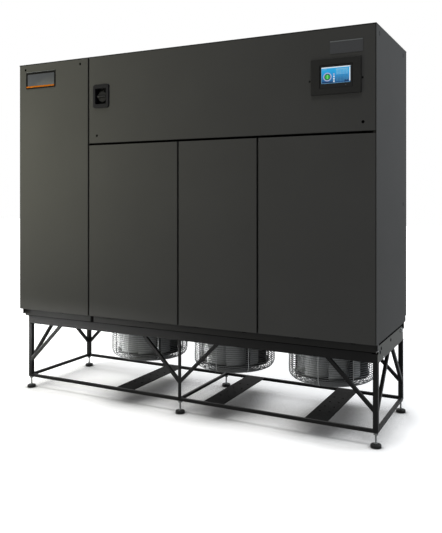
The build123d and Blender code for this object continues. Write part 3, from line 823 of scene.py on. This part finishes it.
class CRAC_OT_fit_display(Operator):
    """Finish the display: bezel, dark glass and the lit, wordless page"""

    bl_idname = "crac.fit_display"
    bl_label = "Fit Display"

    def execute(self, context):
        sizes = context.scene.crac_front
        bezel = moulded_plastic("display bezel", context.scene.crac_finishes.bezel)
        dress(bezel, "display_bezel")
        glass = Finish("display glass", painted(22, 22, 22), 0.30, specular=0.16)
        glass.gloss(glass.noise(12, 2), 0.26, 0.34)
        dress(glass.material, "display_screen")
        low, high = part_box("display_screen")
        x0, x1 = low.x + sizes.page_left, high.x - sizes.page_right
        z0, z1 = low.z + sizes.page_foot, high.z - sizes.page_top
        self.page(low.y, x0, x1, z0, z1, sizes.tile)
        self.recess_shade(low, high, context.scene.crac_finishes.painted_shade)
        self.light(at(low.x + sizes.light_across, low.y, z0 - sizes.light_drop, FACE_FRONT))
        return {"FINISHED"}

    def recess_shade(self, low, high, tone):
        """Thin black strips in the corner between the glass and its recess: painted shade of the
        recess walls.
        """
        wide, rise, sink = 0.0022, 0.0012, 0.0005
        bm = bmesh.new()
        for x0, x1, z0, z1 in (
            (low.x, low.x + wide, low.z, high.z),
            (high.x - wide, high.x, low.z, high.z),
            (low.x + wide, high.x - wide, high.z - wide, high.z),
            (low.x + wide, high.x - wide, low.z, low.z + wide / 2),
        ):
            box(bm, (x0, low.y - rise, z0), (x1, low.y + sink, z1))
        round_off(bm, bm.edges[:], 0.0003, 1)
        black = moulded_plastic("display recess shade", tone, 0.8, 0.0)
        finish_piece(bm, "display_recess_shade", "frame", "dark_plastic", black)

    def page(self, face, x0, x1, z0, z1, tile):
        """The lit page and its fields, laid out in shares of its width and height."""
        blue = lit_page("display page", z0, z1)
        sheet = face_plate(x0, x1, z0, z1, face + 0.0002, face - tile, 0.002, 0)
        finish_piece(sheet, "display_page", "frame", "screen", blue)
        width, height = x1 - x0, z1 - z0
        back, front, corner = face - tile / 2, face - 2 * tile, 0.0008
        bm = bmesh.new()

        def field(left, right, foot, head, tone):
            low_x, high_x = x0 + left * width, x0 + right * width
            low_z, high_z = z0 + foot * height, z0 + head * height
            shape = face_plate(low_x, high_x, low_z, high_z, back, front, corner, 0)
            paint_faces(shape, tone)
            add_shape(bm, shape)

        for values in PAGE_FIELDS:
            field(*values)
        # A table of small fields, its upper rows paler
        table_left, table_head, wide, high = 0.515, 0.735, 0.088, 0.038
        column_step, row_step = 0.105, 0.070
        for row in range(10):
            foot = table_head - row * row_step
            tone = PALE if row < 4 else MIDDLE
            for column in range(4):
                start = table_left + column * column_step
                field(start, start + wide, foot, foot + high, tone)
        # A column of taller fields beside it
        left, right, column_head, step, high = 0.412, 0.462, 0.50, 0.145, 0.095
        for row in range(4):
            foot = column_head - row * step
            field(left, right, foot, foot + high, WHITE if row else LILAC)
        centre = at(x0 + 0.21 * width, back, z0 + 0.40 * height, FACE_FRONT)
        self.dial(bm, centre, 0.265 * height, tile)
        tones = [lit_field(name, tone) for name, tone in PAGE_TONES]
        finish_piece(bm, "display_fields", "frame", "screen", *tones)

    def dial(self, bm, centre, radius, tile):
        """A ring round a dark gap and a disc with a light band across it."""
        rise = tile * 1.5
        inner, gap_edge, disc_edge = radius * 0.76, radius * 0.75, radius * 0.58
        band_half, band_reach = radius * 0.16, radius * 0.46
        ring = lathe([(inner, 0), (radius, 0), (radius, rise), (inner, rise), (inner, 0)], 48)
        gap = lathe([(0, 0), (gap_edge, 0), (gap_edge, tile), (0, tile)], 40)
        disc = lathe([(0, 0), (disc_edge, 0), (disc_edge, rise), (0, rise)], 40)
        band = bmesh.new()
        box(band, (-band_half, -band_reach, tile), (band_half, band_reach, tile * 2))
        for shape, tone in ((ring, LILAC), (gap, NAVY), (disc, GREEN), (band, MINT)):
            paint_faces(shape, tone)
            add_shape(bm, shape, centre)

    def light(self, place):
        """A small status light on the dark glass under the page."""
        radius, sunk = 0.0022, -0.001
        profile = [(0, sunk), (radius, sunk), (radius, 0.0003), (0.0015, 0.0009), (0, 0.0011)]
        clear = moulded_plastic("light pipe", painted(92, 94, 94), 0.3)
        lens = lathe(profile, 16)
        copies("display_light", lens, [place], "frame", "dark_plastic", clear, smooth=40)


class CRAC_OT_fit_switch(Operator):
    """Finish the switch bezel and build the rotary knob"""

    bl_idname = "crac.fit_switch"
    bl_label = "Fit Switch"

    def execute(self, context):
        bezel = moulded_plastic("switch bezel", painted(19, 19, 22), 0.55, 0.07)
        dress(bezel, "switch_bezel")
        black = moulded_plastic("switch knob", painted(21, 21, 23), 0.45, 0.08)
        mark = moulded_plastic("knob mark", painted(52, 52, 52), 0.5)
        low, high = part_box("switch_knob")
        middle = (low + high) / 2
        radius = (high.x - low.x) / 2
        bm = self.knob(radius, high.y - low.y)
        place = at(middle.x, high.y, middle.z, FACE_FRONT)
        bmesh.ops.transform(bm, matrix=place, verts=bm.verts)
        knob = finish_piece(bm, "knob", "disconnect_knob", "dark_plastic", black, mark, smooth=35)
        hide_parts("switch_knob")
        self.scale_ring(place, radius, mark)
        self.well_shade(middle, high.y, context.scene.crac_finishes.painted_shade)
        return {"FINISHED"}

    def knob(self, radius, depth):
        """A round skirt with a grip across it, narrower at the crown, and a pointer, on +Z."""
        rim = 0.0160
        bm = lathe(
            [
                (0, 0),
                (radius, 0),
                (radius, rim * 0.55),
                (radius * 0.97, rim * 0.85),
                (radius * 0.90, rim),
                (0, rim),
            ],
            48,
        )
        half_long, half_wide, waist = radius - 0.002, 0.0105, 0.80
        grip = bmesh.new()
        box(grip, (-half_long, -half_wide, rim * 0.8), (half_long, half_wide, depth))
        round_off(grip, edges_along(grip, AXIS_Z, depth / 3), 0.0075, 5)
        round_off(grip, edges_in_plane(grip, AXIS_Z, depth), 0.0030, 3)
        for vert in grip.verts:
            if vert.co.z > depth * 0.6:
                vert.co.y *= waist
        add_shape(bm, grip)
        start, end, half_mark = 0.006 - half_long, 0.022 - half_long, 0.0012
        pointer = bmesh.new()
        box(pointer, (start, -half_mark, depth - 0.0004), (end, half_mark, depth + 0.0003))
        paint_faces(pointer, 1)
        add_shape(bm, pointer)
        return bm

    def well_shade(self, middle, floor, tone):
        """A matt black sheet on the well's floor behind the knob: painted shade in the recess."""
        half_width, half_height = 0.0480, 0.0570
        back, front, corner = floor + 0.0002, floor - 0.0003, 0.003
        x0, x1 = middle.x - half_width, middle.x + half_width
        z0, z1 = middle.z - half_height, middle.z + half_height
        shade_sheet = face_plate(x0, x1, z0, z1, back, front, corner, 0)
        black = moulded_plastic("switch well shade", tone, 0.8, 0.03)
        finish_piece(shade_sheet, "switch_well_shade", "frame", "dark_plastic", black)

    def scale_ring(self, place, radius, mark):
        """Plain ticks on the well's floor at the knob's two positions."""
        start, end, half = radius + 0.0015, radius + 0.0050, 0.0010
        tick = bmesh.new()
        box(tick, (start, -half, 0.0001), (end, half, 0.0008))
        turns = [Matrix.Rotation(math.radians(turn), 4, "Z") for turn in (180, 90)]
        places = [place @ turn for turn in turns]
        copies("switch_ticks", tick, places, "frame", "dark_plastic", mark)


# Fans


def sweep_hoop(radius, height, wire, sides, steps):
    """One wire hoop about +Z."""
    place = at(radius, 0, height, FACE_FRONT)
    bm = bmesh.new()
    bmesh.ops.create_circle(bm, segments=sides, radius=wire / 2, matrix=place)
    spin_round(bm, bm.verts[:] + bm.edges[:], steps)
    return bm


def sweep_rib(sizes, outer, top, floor):
    """One guard rib at angle 0: down the side, round the corner and in along the floor."""
    corner, wire, sides = sizes.corner, sizes.rib_wire, sizes.sides
    bm = bmesh.new()
    ring = bmesh.ops.create_circle(
        bm, cap_ends=True, segments=sides, radius=wire / 2, matrix=at(outer, 0, top)
    )["verts"]

    def ring_edges():
        return [e for e in bm.edges if all(v in ring for v in e.verts)]

    def pull(vec):
        nonlocal ring
        grown = bmesh.ops.extrude_edge_only(bm, edges=ring_edges())["geom"]
        ring = [item for item in grown if isinstance(item, bmesh.types.BMVert)]
        bmesh.ops.translate(bm, verts=ring, vec=vec)

    pull((0, 0, floor + corner - top))
    turned = bmesh.ops.spin(
        bm,
        geom=ring + ring_edges(),
        cent=(outer - corner, 0, floor + corner),
        axis=(0, 1, 0),
        angle=math.radians(90),
        steps=7,
    )["geom_last"]
    ring = [item for item in turned if isinstance(item, bmesh.types.BMVert)]
    pull((sizes.centre - (outer - corner), 0, 0))
    bmesh.ops.holes_fill(bm, edges=bm.edges, sides=sides)
    bmesh.ops.remove_doubles(bm, verts=bm.verts, dist=NEAR)
    bmesh.ops.recalc_face_normals(bm, faces=bm.faces)
    return bm


def guard_hoops(sizes, outer, top, floor):
    """Radius and height of each hoop: down the side, round the corner and in along the floor."""
    corner, pitch = sizes.corner, sizes.pitch
    side = top - sizes.flange_depth - floor - corner
    count = round(side / pitch)
    places = [(outer, floor + corner + i * side / count) for i in range(count)]
    turns = round(corner * math.radians(90) / pitch)
    for i in range(1, turns):
        angle = math.radians(90) * i / turns
        across = outer - corner + corner * math.cos(angle)
        places.append((across, floor + corner - corner * math.sin(angle)))
    reach = outer - corner - sizes.centre
    count = round(reach / pitch)
    places += [(sizes.centre + i * reach / count, floor) for i in range(count + 1)]
    return places


class CRAC_OT_build_guards(Operator):
    """Build the wire guards round the fans"""

    bl_idname = "crac.build_guards"
    bl_label = "Build Wire Guards"

    def execute(self, context):
        tones = context.scene.crac_finishes
        finishes = (
            # Hoops and ribs are the same zinc; the hoops' darker tone is painted shade
            galvanised("hoop zinc in painted shade", tones.hoop, 0.10, 0.60),
            galvanised("galvanised rib", tones.zinc, 0.35, 0.45),
        )
        low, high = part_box("fan_cage_1")
        template = self.template(context.scene.crac_guards, (high.x - low.x) / 2, low.z, high.z)
        for number in FANS:
            low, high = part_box(f"fan_cage_{number}")
            middle = (low + high) / 2
            places = [at(middle.x, middle.y, 0)]
            name, shape = f"wire_guard_{number}", template.copy()
            guard = copies(name, shape, places, "frame", "zinc_wire", *finishes, smooth=50)
            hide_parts(f"fan_cage_{number}")
        template.free()
        return {"FINISHED"}

    def template(self, sizes, radius, foot, top):
        """One guard about the upright axis."""
        clear = 0.001
        outer = radius - sizes.flange / 2 - sizes.rib_wire / 2 - clear
        floor = foot + sizes.rib_wire / 2
        flush = (sizes.rib_wire - sizes.hoop_wire) / 2
        bm = bmesh.new()
        for across, height in guard_hoops(sizes, outer - flush, top, floor + flush):
            add_shape(bm, sweep_hoop(across, height, sizes.hoop_wire, sizes.sides, sizes.steps))
        for i in range(sizes.ribs):
            rib = sweep_rib(sizes, outer, top, floor)
            paint_faces(rib, 1)
            add_shape(bm, rib, Matrix.Rotation(math.tau * i / sizes.ribs, 4, "Z"))
        inner, under = radius - sizes.flange, top - sizes.flange_depth
        profile = [(inner, under), (radius, under), (radius, top), (inner, top), (inner, under)]
        add_shape(bm, lathe(profile, sizes.steps))
        return bm


class CRAC_OT_finish_fans(Operator):
    """Finish the impellers and their carriers"""

    bl_idname = "crac.finish_fans"
    bl_label = "Finish Fans"

    def execute(self, context):
        tones = context.scene.crac_finishes
        # Below this height the impellers are darkened as painted shade
        plate_rise = 0.014
        plate_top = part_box("fan_impeller_1")[0].z + plate_rise
        sheet = fan_sheet("impeller sheet", tones.sheet, tones.back_plate_shade, plate_top)
        dress(sheet, *(f"fan_impeller_{number}" for number in FANS))
        coat = enamel("fan carrier coating", tones.carrier)
        dress(coat, *(f"fan_carrier_{number}" for number in FANS))
        return {"FINISHED"}


# Base and stand

STAND_BARS = (
    "stand_top_long_rails",
    "stand_top_end_rails",
    "stand_posts",
    "stand_bottom_long_rails",
    "stand_bottom_cross_rails",
    "stand_front_braces",
    "stand_rear_braces",
    "stand_end_braces",
)


class CRAC_OT_enamel_stand(Operator):
    """Enamel the stand and base frame and round their bars"""

    bl_idname = "crac.enamel_stand"
    bl_label = "Enamel Stand"

    def execute(self, context):
        tones = context.scene.crac_finishes
        black = enamel("stand enamel", tones.stand_black)
        dress(black, "base_corner_tabs", *STAND_BARS)
        dress(enamel("base enamel", tones.base_black), "base_frame")
        plates = enamel("fan plate enamel", tones.plate_black, 0.70, 0.04)
        dress(plates, *(f"fan_plate_{number}" for number in FANS))
        rounding = 0.0022
        soften(rounding, 2, *STAND_BARS)
        grey = powder_coat("end plate paint", tones.end_plate)
        dress(grey, "base_end_plates")
        return {"FINISHED"}


def weld_shape(run, radius, ripple):
    """A weld bead along +Z with its ripples."""
    count = max(2, round(run / ripple))
    profile = [(0, 0)]
    for i in range(count):
        start = run * i / count
        step = run / count
        profile += [(radius * 0.80, start + step * 0.05), (radius, start + step * 0.55)]
    profile.append((0, run))
    return lathe(profile, 8)


class CRAC_OT_weld_stand(Operator):
    """Lay the weld beads where posts and rails meet"""

    bl_idname = "crac.weld_stand"
    bl_label = "Weld Stand"

    def execute(self, context):
        sizes = context.scene.crac_hardware
        posts_low, posts_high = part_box("stand_posts")
        rails_low, rails_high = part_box("stand_bottom_long_rails")
        post, middle_post, inset = rails_low.x - posts_low.x, 0.018, 0.003
        across, narrow, upright = (
            weld_shape(run - 2 * inset, sizes.weld, sizes.weld_ripple)
            for run in (post, middle_post, rails_high.z - rails_low.z)
        )
        head, foot = posts_high.z, rails_low.z + inset
        bm = bmesh.new()
        for x0, depth, bead in (
            (posts_low.x, post, across),
            (-middle_post / 2, middle_post, narrow),
            (posts_high.x - post, post, across),
        ):
            for y0, face in ((posts_low.y, posts_low.y), (posts_high.y - depth, posts_high.y)):
                for y in (y0, y0 + depth):
                    add_shape(bm, bead, at(x0 + inset, y, head, FACE_RIGHT), keep=True)
                for x in (x0, x0 + depth):
                    add_shape(bm, bead, at(x, y0 + inset, head, FACE_REAR), keep=True)
                    if posts_low.x + NEAR < x < posts_high.x - NEAR:
                        add_shape(bm, upright, at(x, face, foot), keep=True)
        for shape in (across, narrow, upright):
            shape.free()
        black = enamel("weld enamel", context.scene.crac_finishes.stand_black)
        finish_piece(bm, "stand_welds", "frame", "black_steel", black, smooth=60)
        return {"FINISHED"}


class CRAC_OT_fit_shade_strips(Operator):
    """Fit black strips of painted shade round the base frame and black liners of painted shade in
    its slots, and black pieces at the heads of the front corner posts
    """

    bl_idname = "crac.fit_seals"
    bl_label = "Fit Shade Strips"

    def execute(self, context):
        low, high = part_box("base_frame")
        plates_low, plates_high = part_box("base_end_plates")
        posts_low, posts_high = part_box("stand_posts")
        proud, strip, inset = 0.0010, 0.0035, 0.002
        bm = bmesh.new()
        # Along the foot of the base frame, front and rear: painted shade under its overhang
        for y in (low.y, high.y):
            box(bm, (low.x + inset, y - proud, low.z), (high.x - inset, y + proud, low.z + strip))
        # On the base frame's ends over the end plates: painted shade under the side panels
        over = plates_high.z + 0.0010
        for x in (low.x, high.x):
            box(bm, (x - proud, low.y + inset, over), (x + proud, high.y - inset, high.z))
        # Along the end plates' upper edges, under the side panels: painted shade
        foot, head, sink, rise = plates_high.z - 0.0065, plates_high.z + 0.0008, 0.0010, 0.0008
        for x0, x1 in (
            (plates_high.x - sink, plates_high.x + rise),
            (plates_low.x - rise, plates_low.x + sink),
        ):
            box(bm, (x0, plates_low.y, foot), (x1, plates_high.y, head))
        # Over the base frame's joint, under the full-height panel's edge: painted shade
        joint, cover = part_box("left_front_panel")[1].x, 0.014
        start = (joint - cover, low.y - proud, low.z + strip)
        box(bm, start, (joint + cover, low.y + proud, high.z))
        # In the slots along the front: black liners, painted shade inside the slots
        half, foot, head, near, far = 0.0166, 0.6284, 0.6366, low.y + 0.0005, low.y + 0.0058
        for x in (1.263, 0.894, 0.525, 0.156, -0.213, -0.582, -1.033):
            box(bm, (x - half, near, foot), (x + half, far, head))
        # Round the heads of the stand's front corner posts
        foot, head, wide, back = 0.572, 0.587, 0.038, posts_low.y + 0.012
        for x0, x1 in (
            (posts_high.x - wide, posts_high.x + proud),
            (posts_low.x - proud, posts_low.x + wide),
        ):
            box(bm, (x0, posts_low.y - proud, foot), (x1, back, head))
        round_off(bm, bm.edges[:], 0.0004, 1)
        black = moulded_plastic("black painted shade", context.scene.crac_finishes.painted_shade, 0.85, 0.0)
        finish_piece(bm, "base_shade_strips", "frame", "dark_plastic", black)
        return {"FINISHED"}


class CRAC_OT_fit_end_plate_screws(Operator):
    """Fit the small screws and the bolts of the plates at the stand's ends; the bolts' near-white
    tone is a painted glint
    """

    bl_idname = "crac.fit_end_plate_screws"
    bl_label = "Fit End Plate Screws"

    def execute(self, context):
        sizes = context.scene.crac_hardware
        # Place from front to rear and height of each screw and bolt
        screws = ((0.0015, 0.593), (-0.2665, 0.592), (-0.2925, 0.573), (0.2965, 0.598))
        bolts = (
            (-0.352, 0.594),
            (-0.197, 0.524),
            (0.300, 0.596),
            (0.352, 0.604),
            (0.366, 0.583),
        )
        # The bolts' near-white zinc is a painted glint
        black = moulded_plastic("end plate screw", painted(4, 4, 4), 0.6, 0.02)
        zinc = galvanised("bolt with painted glint", context.scene.crac_finishes.bolt, 0.2, 0.5)
        shape = screw_shape(1.3 * sizes.screw, sizes.screw_rise)
        places = self.places(screws)
        copies("end_plate_screws", shape, places, "frame", "black_steel", black, smooth=35)
        shape = screw_shape(sizes.dot_screw, sizes.screw_rise)
        places = self.places(bolts)
        copies("glinting_bolts", shape, places, "frame", "zinc_steel", zinc, smooth=35)
        return {"FINISHED"}

    def places(self, spots):
        """The same spots on both end plates."""
        low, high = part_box("base_end_plates")
        faces = ((high.x, FACE_RIGHT), (low.x, FACE_LEFT))
        return [at(face, y, z, turn) for face, turn in faces for y, z in spots]


class CRAC_OT_fit_feet(Operator):
    """Finish the pads and build the threaded studs with their nuts"""

    bl_idname = "crac.fit_feet"
    bl_label = "Fit Feet"

    def execute(self, context):
        tones = context.scene.crac_finishes
        sizes = context.scene.crac_hardware
        dress(moulded_rubber("foot pad rubber", tones.rubber), "foot_pads")
        zinc = galvanised("plated stud", tones.stud, metallic=0.7, roughness=0.40)
        low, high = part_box("foot_studs")
        pads_low, pads_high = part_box("foot_pads")
        pad_half, clear, top_nut, foot_nut = 0.033, 0.0005, 0.012, 0.0072
        bm = self.stud(low.z, high.z, sizes.stud, sizes.thread)
        add_shape(bm, self.nut(high.z - top_nut, high.z, 0.013))
        add_shape(bm, self.nut(low.z + clear, low.z + clear + foot_nut, 0.012))
        rows = (pads_low.y + pad_half, pads_high.y - pad_half)
        columns = (pads_low.x + pad_half, 0, pads_high.x - pad_half)
        places = [at(x, y, 0) for x in columns for y in rows]
        studs = copies("levelling_studs", bm, places, "frame", "zinc_steel", zinc, smooth=40)
        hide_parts("foot_studs")
        return {"FINISHED"}

    def stud(self, low, high, radius, pitch):
        """A threaded stud as a stack of crests and roots."""
        turns = round((high - low) / pitch)
        step = (high - low) / turns
        root = radius * 0.86
        profile = [(0, low)]
        for i in range(turns):
            profile += [(root, low + step * i), (radius, low + step * (i + 0.5))]
        profile += [(root, high), (0, high)]
        return lathe(profile, 16)

    def nut(self, low, high, half_across):
        """A hexagon nut with turned corners."""
        corner = half_across / math.cos(math.radians(30))
        bm = prism(6, corner, corner, low, high)
        round_off(bm, bm.edges[:], 0.0010, 2)
        return bm


# Top


class CRAC_OT_finish_filters(Operator):
    """Finish the return filters and fit their frames"""

    bl_idname = "crac.finish_filters"
    bl_label = "Finish Filters"

    def execute(self, context):
        tones = context.scene.crac_finishes
        dress(pleated_fibre("filter media", tones.media), "return_filters")
        zinc = galvanised("filter frame", tones.zinc, spangle=90)
        low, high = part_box("return_filters")
        rim, foot, head = 0.018, high.z - 0.0005, high.z + 0.0012
        bm = bmesh.new()
        for x0, x1 in self.banks(low, high):
            for left, right, front, back in (
                (x0, x1, low.y, low.y + rim),
                (x0, x1, high.y - rim, high.y),
                (x0, x0 + rim, low.y + rim, high.y - rim),
                (x1 - rim, x1, low.y + rim, high.y - rim),
            ):
                box(bm, (left, front, foot), (right, back, head))
        round_off(bm, bm.edges[:], 0.0004, 1)
        finish_piece(bm, "filter_frames", "frame", "zinc_steel", zinc)
        return {"FINISHED"}

    def banks(self, low, high):
        """The left and right edge of each filter bank, between the cross bars."""
        clear = 0.032
        right_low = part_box("right_lower_panel")[0]
        middle_low, middle_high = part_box("middle_lower_panel")
        half_seam = (right_low.x - middle_high.x) / 2
        first, second = right_low.x - half_seam, middle_low.x - half_seam
        return ((first + clear, high.x), (second + clear, first - clear), (low.x, second - clear))


# Stage


def surroundings(world, ambient):
    """White where the camera or a reflection sees it, softer as a light on the object."""
    world.use_nodes = True
    tree = world.node_tree
    background = tree.nodes["Background"]
    background.inputs["Color"].default_value = (1, 1, 1, 1)
    path = add_node(tree, "ShaderNodeLightPath").outputs
    seen = math_node(tree, "MAXIMUM", path["Is Camera Ray"], path["Is Glossy Ray"])
    seen = math_node(tree, "MAXIMUM", seen, path["Is Transmission Ray"])
    tree.links.new(map_range(tree, seen, 0.0, 1.0, ambient, 1.0), background.inputs["Strength"])


def pale_floor(share, lift, reach, depth):
    """A matt floor that keeps the object's shadow and is lifted to white away from it. Near the
    object, ambient occlusion darkens its colour and its lift: a painted contact shadow.
    """
    lift_start, lift_end = 2.4, 6.0
    material = bpy.data.materials.new("pale floor")
    material.use_nodes = True
    tree = material.node_tree
    tree.nodes.clear()
    place = add_node(tree, "ShaderNodeTexCoord").outputs["Object"]
    away = add_node(tree, "ShaderNodeVectorMath", {0: place}, operation="LENGTH")
    rise = map_range(tree, away.outputs["Value"], lift_start, lift_end, lift, 1.0)
    # Painted contact shadow: ambient occlusion darkens the floor's colour and glow near the object
    near = add_node(tree, "ShaderNodeAmbientOcclusion", {"Distance": reach}, samples=12)
    painted_contact = math_node(tree, "POWER", near.outputs["AO"], depth)
    pale = math_node(tree, "MULTIPLY", painted_contact, share)
    matt = add_node(tree, "ShaderNodeBsdfDiffuse", {"Color": pale})
    path = add_node(tree, "ShaderNodeLightPath").outputs
    shaded = math_node(tree, "MULTIPLY", rise, painted_contact)
    strength = math_node(tree, "MULTIPLY", path["Is Camera Ray"], shaded)
    glow = add_node(tree, "ShaderNodeEmission", {"Strength": strength})
    both = add_node(tree, "ShaderNodeAddShader", {0: matt.outputs[0], 1: glow.outputs[0]})
    add_node(tree, "ShaderNodeOutputMaterial", {"Surface": both.outputs[0]})
    return material


def hang(name, data, place, direction):
    """Puts a lamp or the camera in the scene, facing a direction."""
    made = bpy.data.objects.new(name, data)
    bpy.context.scene.collection.objects.link(made)
    made.location = place
    made.rotation_euler = Vector(direction).to_track_quat("-Z", "Y").to_euler()
    return made


def lamp(name, place, aim, size, power, tint=(1.0, 1.0, 1.0)):
    """A soft square lamp."""
    light = bpy.data.lights.new(name, "AREA")
    light.size = size
    light.energy = power
    light.color = tint
    hang(name, light, place, Vector(aim) - Vector(place))


class CRAC_OT_set_stage(Operator):
    """Set the floor, lamps, surroundings and camera"""

    bl_idname = "crac.set_stage"
    bl_label = "Set Stage"

    def execute(self, context):
        scene = context.scene
        levels = scene.crac_stage
        warm, cool = (1.0, 0.99, 0.76), (0.82, 0.90, 1.0)
        scene.view_settings.view_transform = "Standard"
        if scene.world is None:
            scene.world = bpy.data.worlds.new("surroundings")
        surroundings(scene.world, levels.ambient)
        self.floor(levels)
        lamp("key_lamp", (-2.0, -2.3, 1.75), (-2.3, -0.44, 2.8), 1.0, levels.key, warm)
        lamp("side_lamp", (5.0, 2.2, 3.1), (1.4, 0.1, 1.4), 2.0, levels.side, cool)
        self.skylight(levels.overhead)
        lamp("low_lamp", (-5.0, -0.5, 0.7), (0.3, 0.0, 0.45), 1.0, levels.low)
        lamp("rear_lamp", (-2.6, 4.8, 4.4), (0.2, 0.3, 0.9), 3.5, levels.rear)
        self.fan_lamps(levels.fans)
        self.camera(scene)
        return {"FINISHED"}

    def fan_lamps(self, power):
        """A narrow lamp on each fan, low from the left and a little in front."""
        away, cone = Vector((-4.35, -1.16, 0.0)), math.radians(8.5)
        for number in FANS:
            low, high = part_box(f"fan_cage_{number}")
            name = f"fan_lamp_{number}"
            light = bpy.data.lights.new(name, "SPOT")
            light.energy = power
            light.shadow_soft_size = 0.15
            light.spot_size = cone
            light.spot_blend = 0.5
            hang(name, light, (low + high) / 2 + away, -away)

    def skylight(self, strength):
        """Broad light from above and a little in front: the shadow falls under and behind."""
        light = bpy.data.lights.new("skylight", "SUN")
        light.energy = strength
        light.angle = math.radians(16)
        hang("skylight", light, (0, 0, 0), (0.05, 0.35, -1.0))

    def floor(self, levels):
        """A floor that runs on beyond the view, just under the feet."""
        half, gap = 30.0, 0.0005
        bm = bmesh.new()
        bmesh.ops.create_grid(bm, x_segments=1, y_segments=1, size=half)
        mesh = bpy.data.meshes.new("floor")
        bm.to_mesh(mesh)
        bm.free()
        reach, depth = levels.contact_reach, levels.contact_depth
        mesh.materials.append(pale_floor(levels.floor, levels.floor_lift, reach, depth))
        ground = bpy.data.objects.new("floor", mesh)
        bpy.context.scene.collection.objects.link(ground)
        ground.location.z = -gap

    def camera(self, scene):
        """The photograph's view: level, from the front right, with the frame shifted down."""
        focal_pixels, frame_height, horizon = 649.16, 533.0, 196.3
        place, facing = (2.352, -4.3055, 1.536), (-0.45468, 0.89065, 0.0)
        data = bpy.data.cameras.new("camera")
        data.sensor_width = 36.0
        data.lens = focal_pixels / frame_height * data.sensor_width
        data.shift_y = (horizon - frame_height / 2) / frame_height
        data.clip_end = 200.0
        scene.camera = hang("camera", data, place, facing)


# Sidebar and registration

STEPS = (
    CRAC_OT_set_stage,
    CRAC_OT_coat_cabinet,
    CRAC_OT_fit_top_trim,
    CRAC_OT_fit_panel_screws,
    CRAC_OT_fit_latches,
    CRAC_OT_fit_badge,
    CRAC_OT_fit_name_plate,
    CRAC_OT_fit_display,
    CRAC_OT_fit_switch,
    CRAC_OT_build_guards,
    CRAC_OT_finish_fans,
    CRAC_OT_enamel_stand,
    CRAC_OT_weld_stand,
    CRAC_OT_fit_shade_strips,
    CRAC_OT_fit_end_plate_screws,
    CRAC_OT_fit_feet,
    CRAC_OT_finish_filters,
)

SETTINGS = {
    "crac_finishes": FinishColours,
    "crac_guards": GuardSizes,
    "crac_hardware": HardwareSizes,
    "crac_front": FrontTrim,
    "crac_stage": StageLevels,
}


class CRAC_PT_sidebar(Panel):
    """Settings and steps of the air conditioner"""

    bl_idname = "CRAC_PT_sidebar"
    bl_label = "Air Conditioner"
    bl_space_type = "VIEW_3D"
    bl_region_type = "UI"
    bl_category = "Air Conditioner"

    def draw(self, context):
        layout = self.layout
        for step in STEPS:
            layout.operator(step.bl_idname)
        for key in SETTINGS:
            group = getattr(context.scene, key)
            column = layout.column(align=True)
            for name in group.bl_rna.properties.keys():
                if name not in {"rna_type", "name"}:
                    column.prop(group, name)


CLASSES = (*SETTINGS.values(), *STEPS, CRAC_PT_sidebar)


def register():
    for cls in CLASSES:
        bpy.utils.register_class(cls)
    for key, group in SETTINGS.items():
        setattr(bpy.types.Scene, key, PointerProperty(type=group))


def unregister():
    for key in SETTINGS:
        delattr(bpy.types.Scene, key)
    for cls in reversed(CLASSES):
        bpy.utils.unregister_class(cls)


def main():
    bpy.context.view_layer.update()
    register()
    for step in STEPS:
        family, action = step.bl_idname.split(".")
        getattr(getattr(bpy.ops, family), action)()


if __name__ == "__main__":
    main()
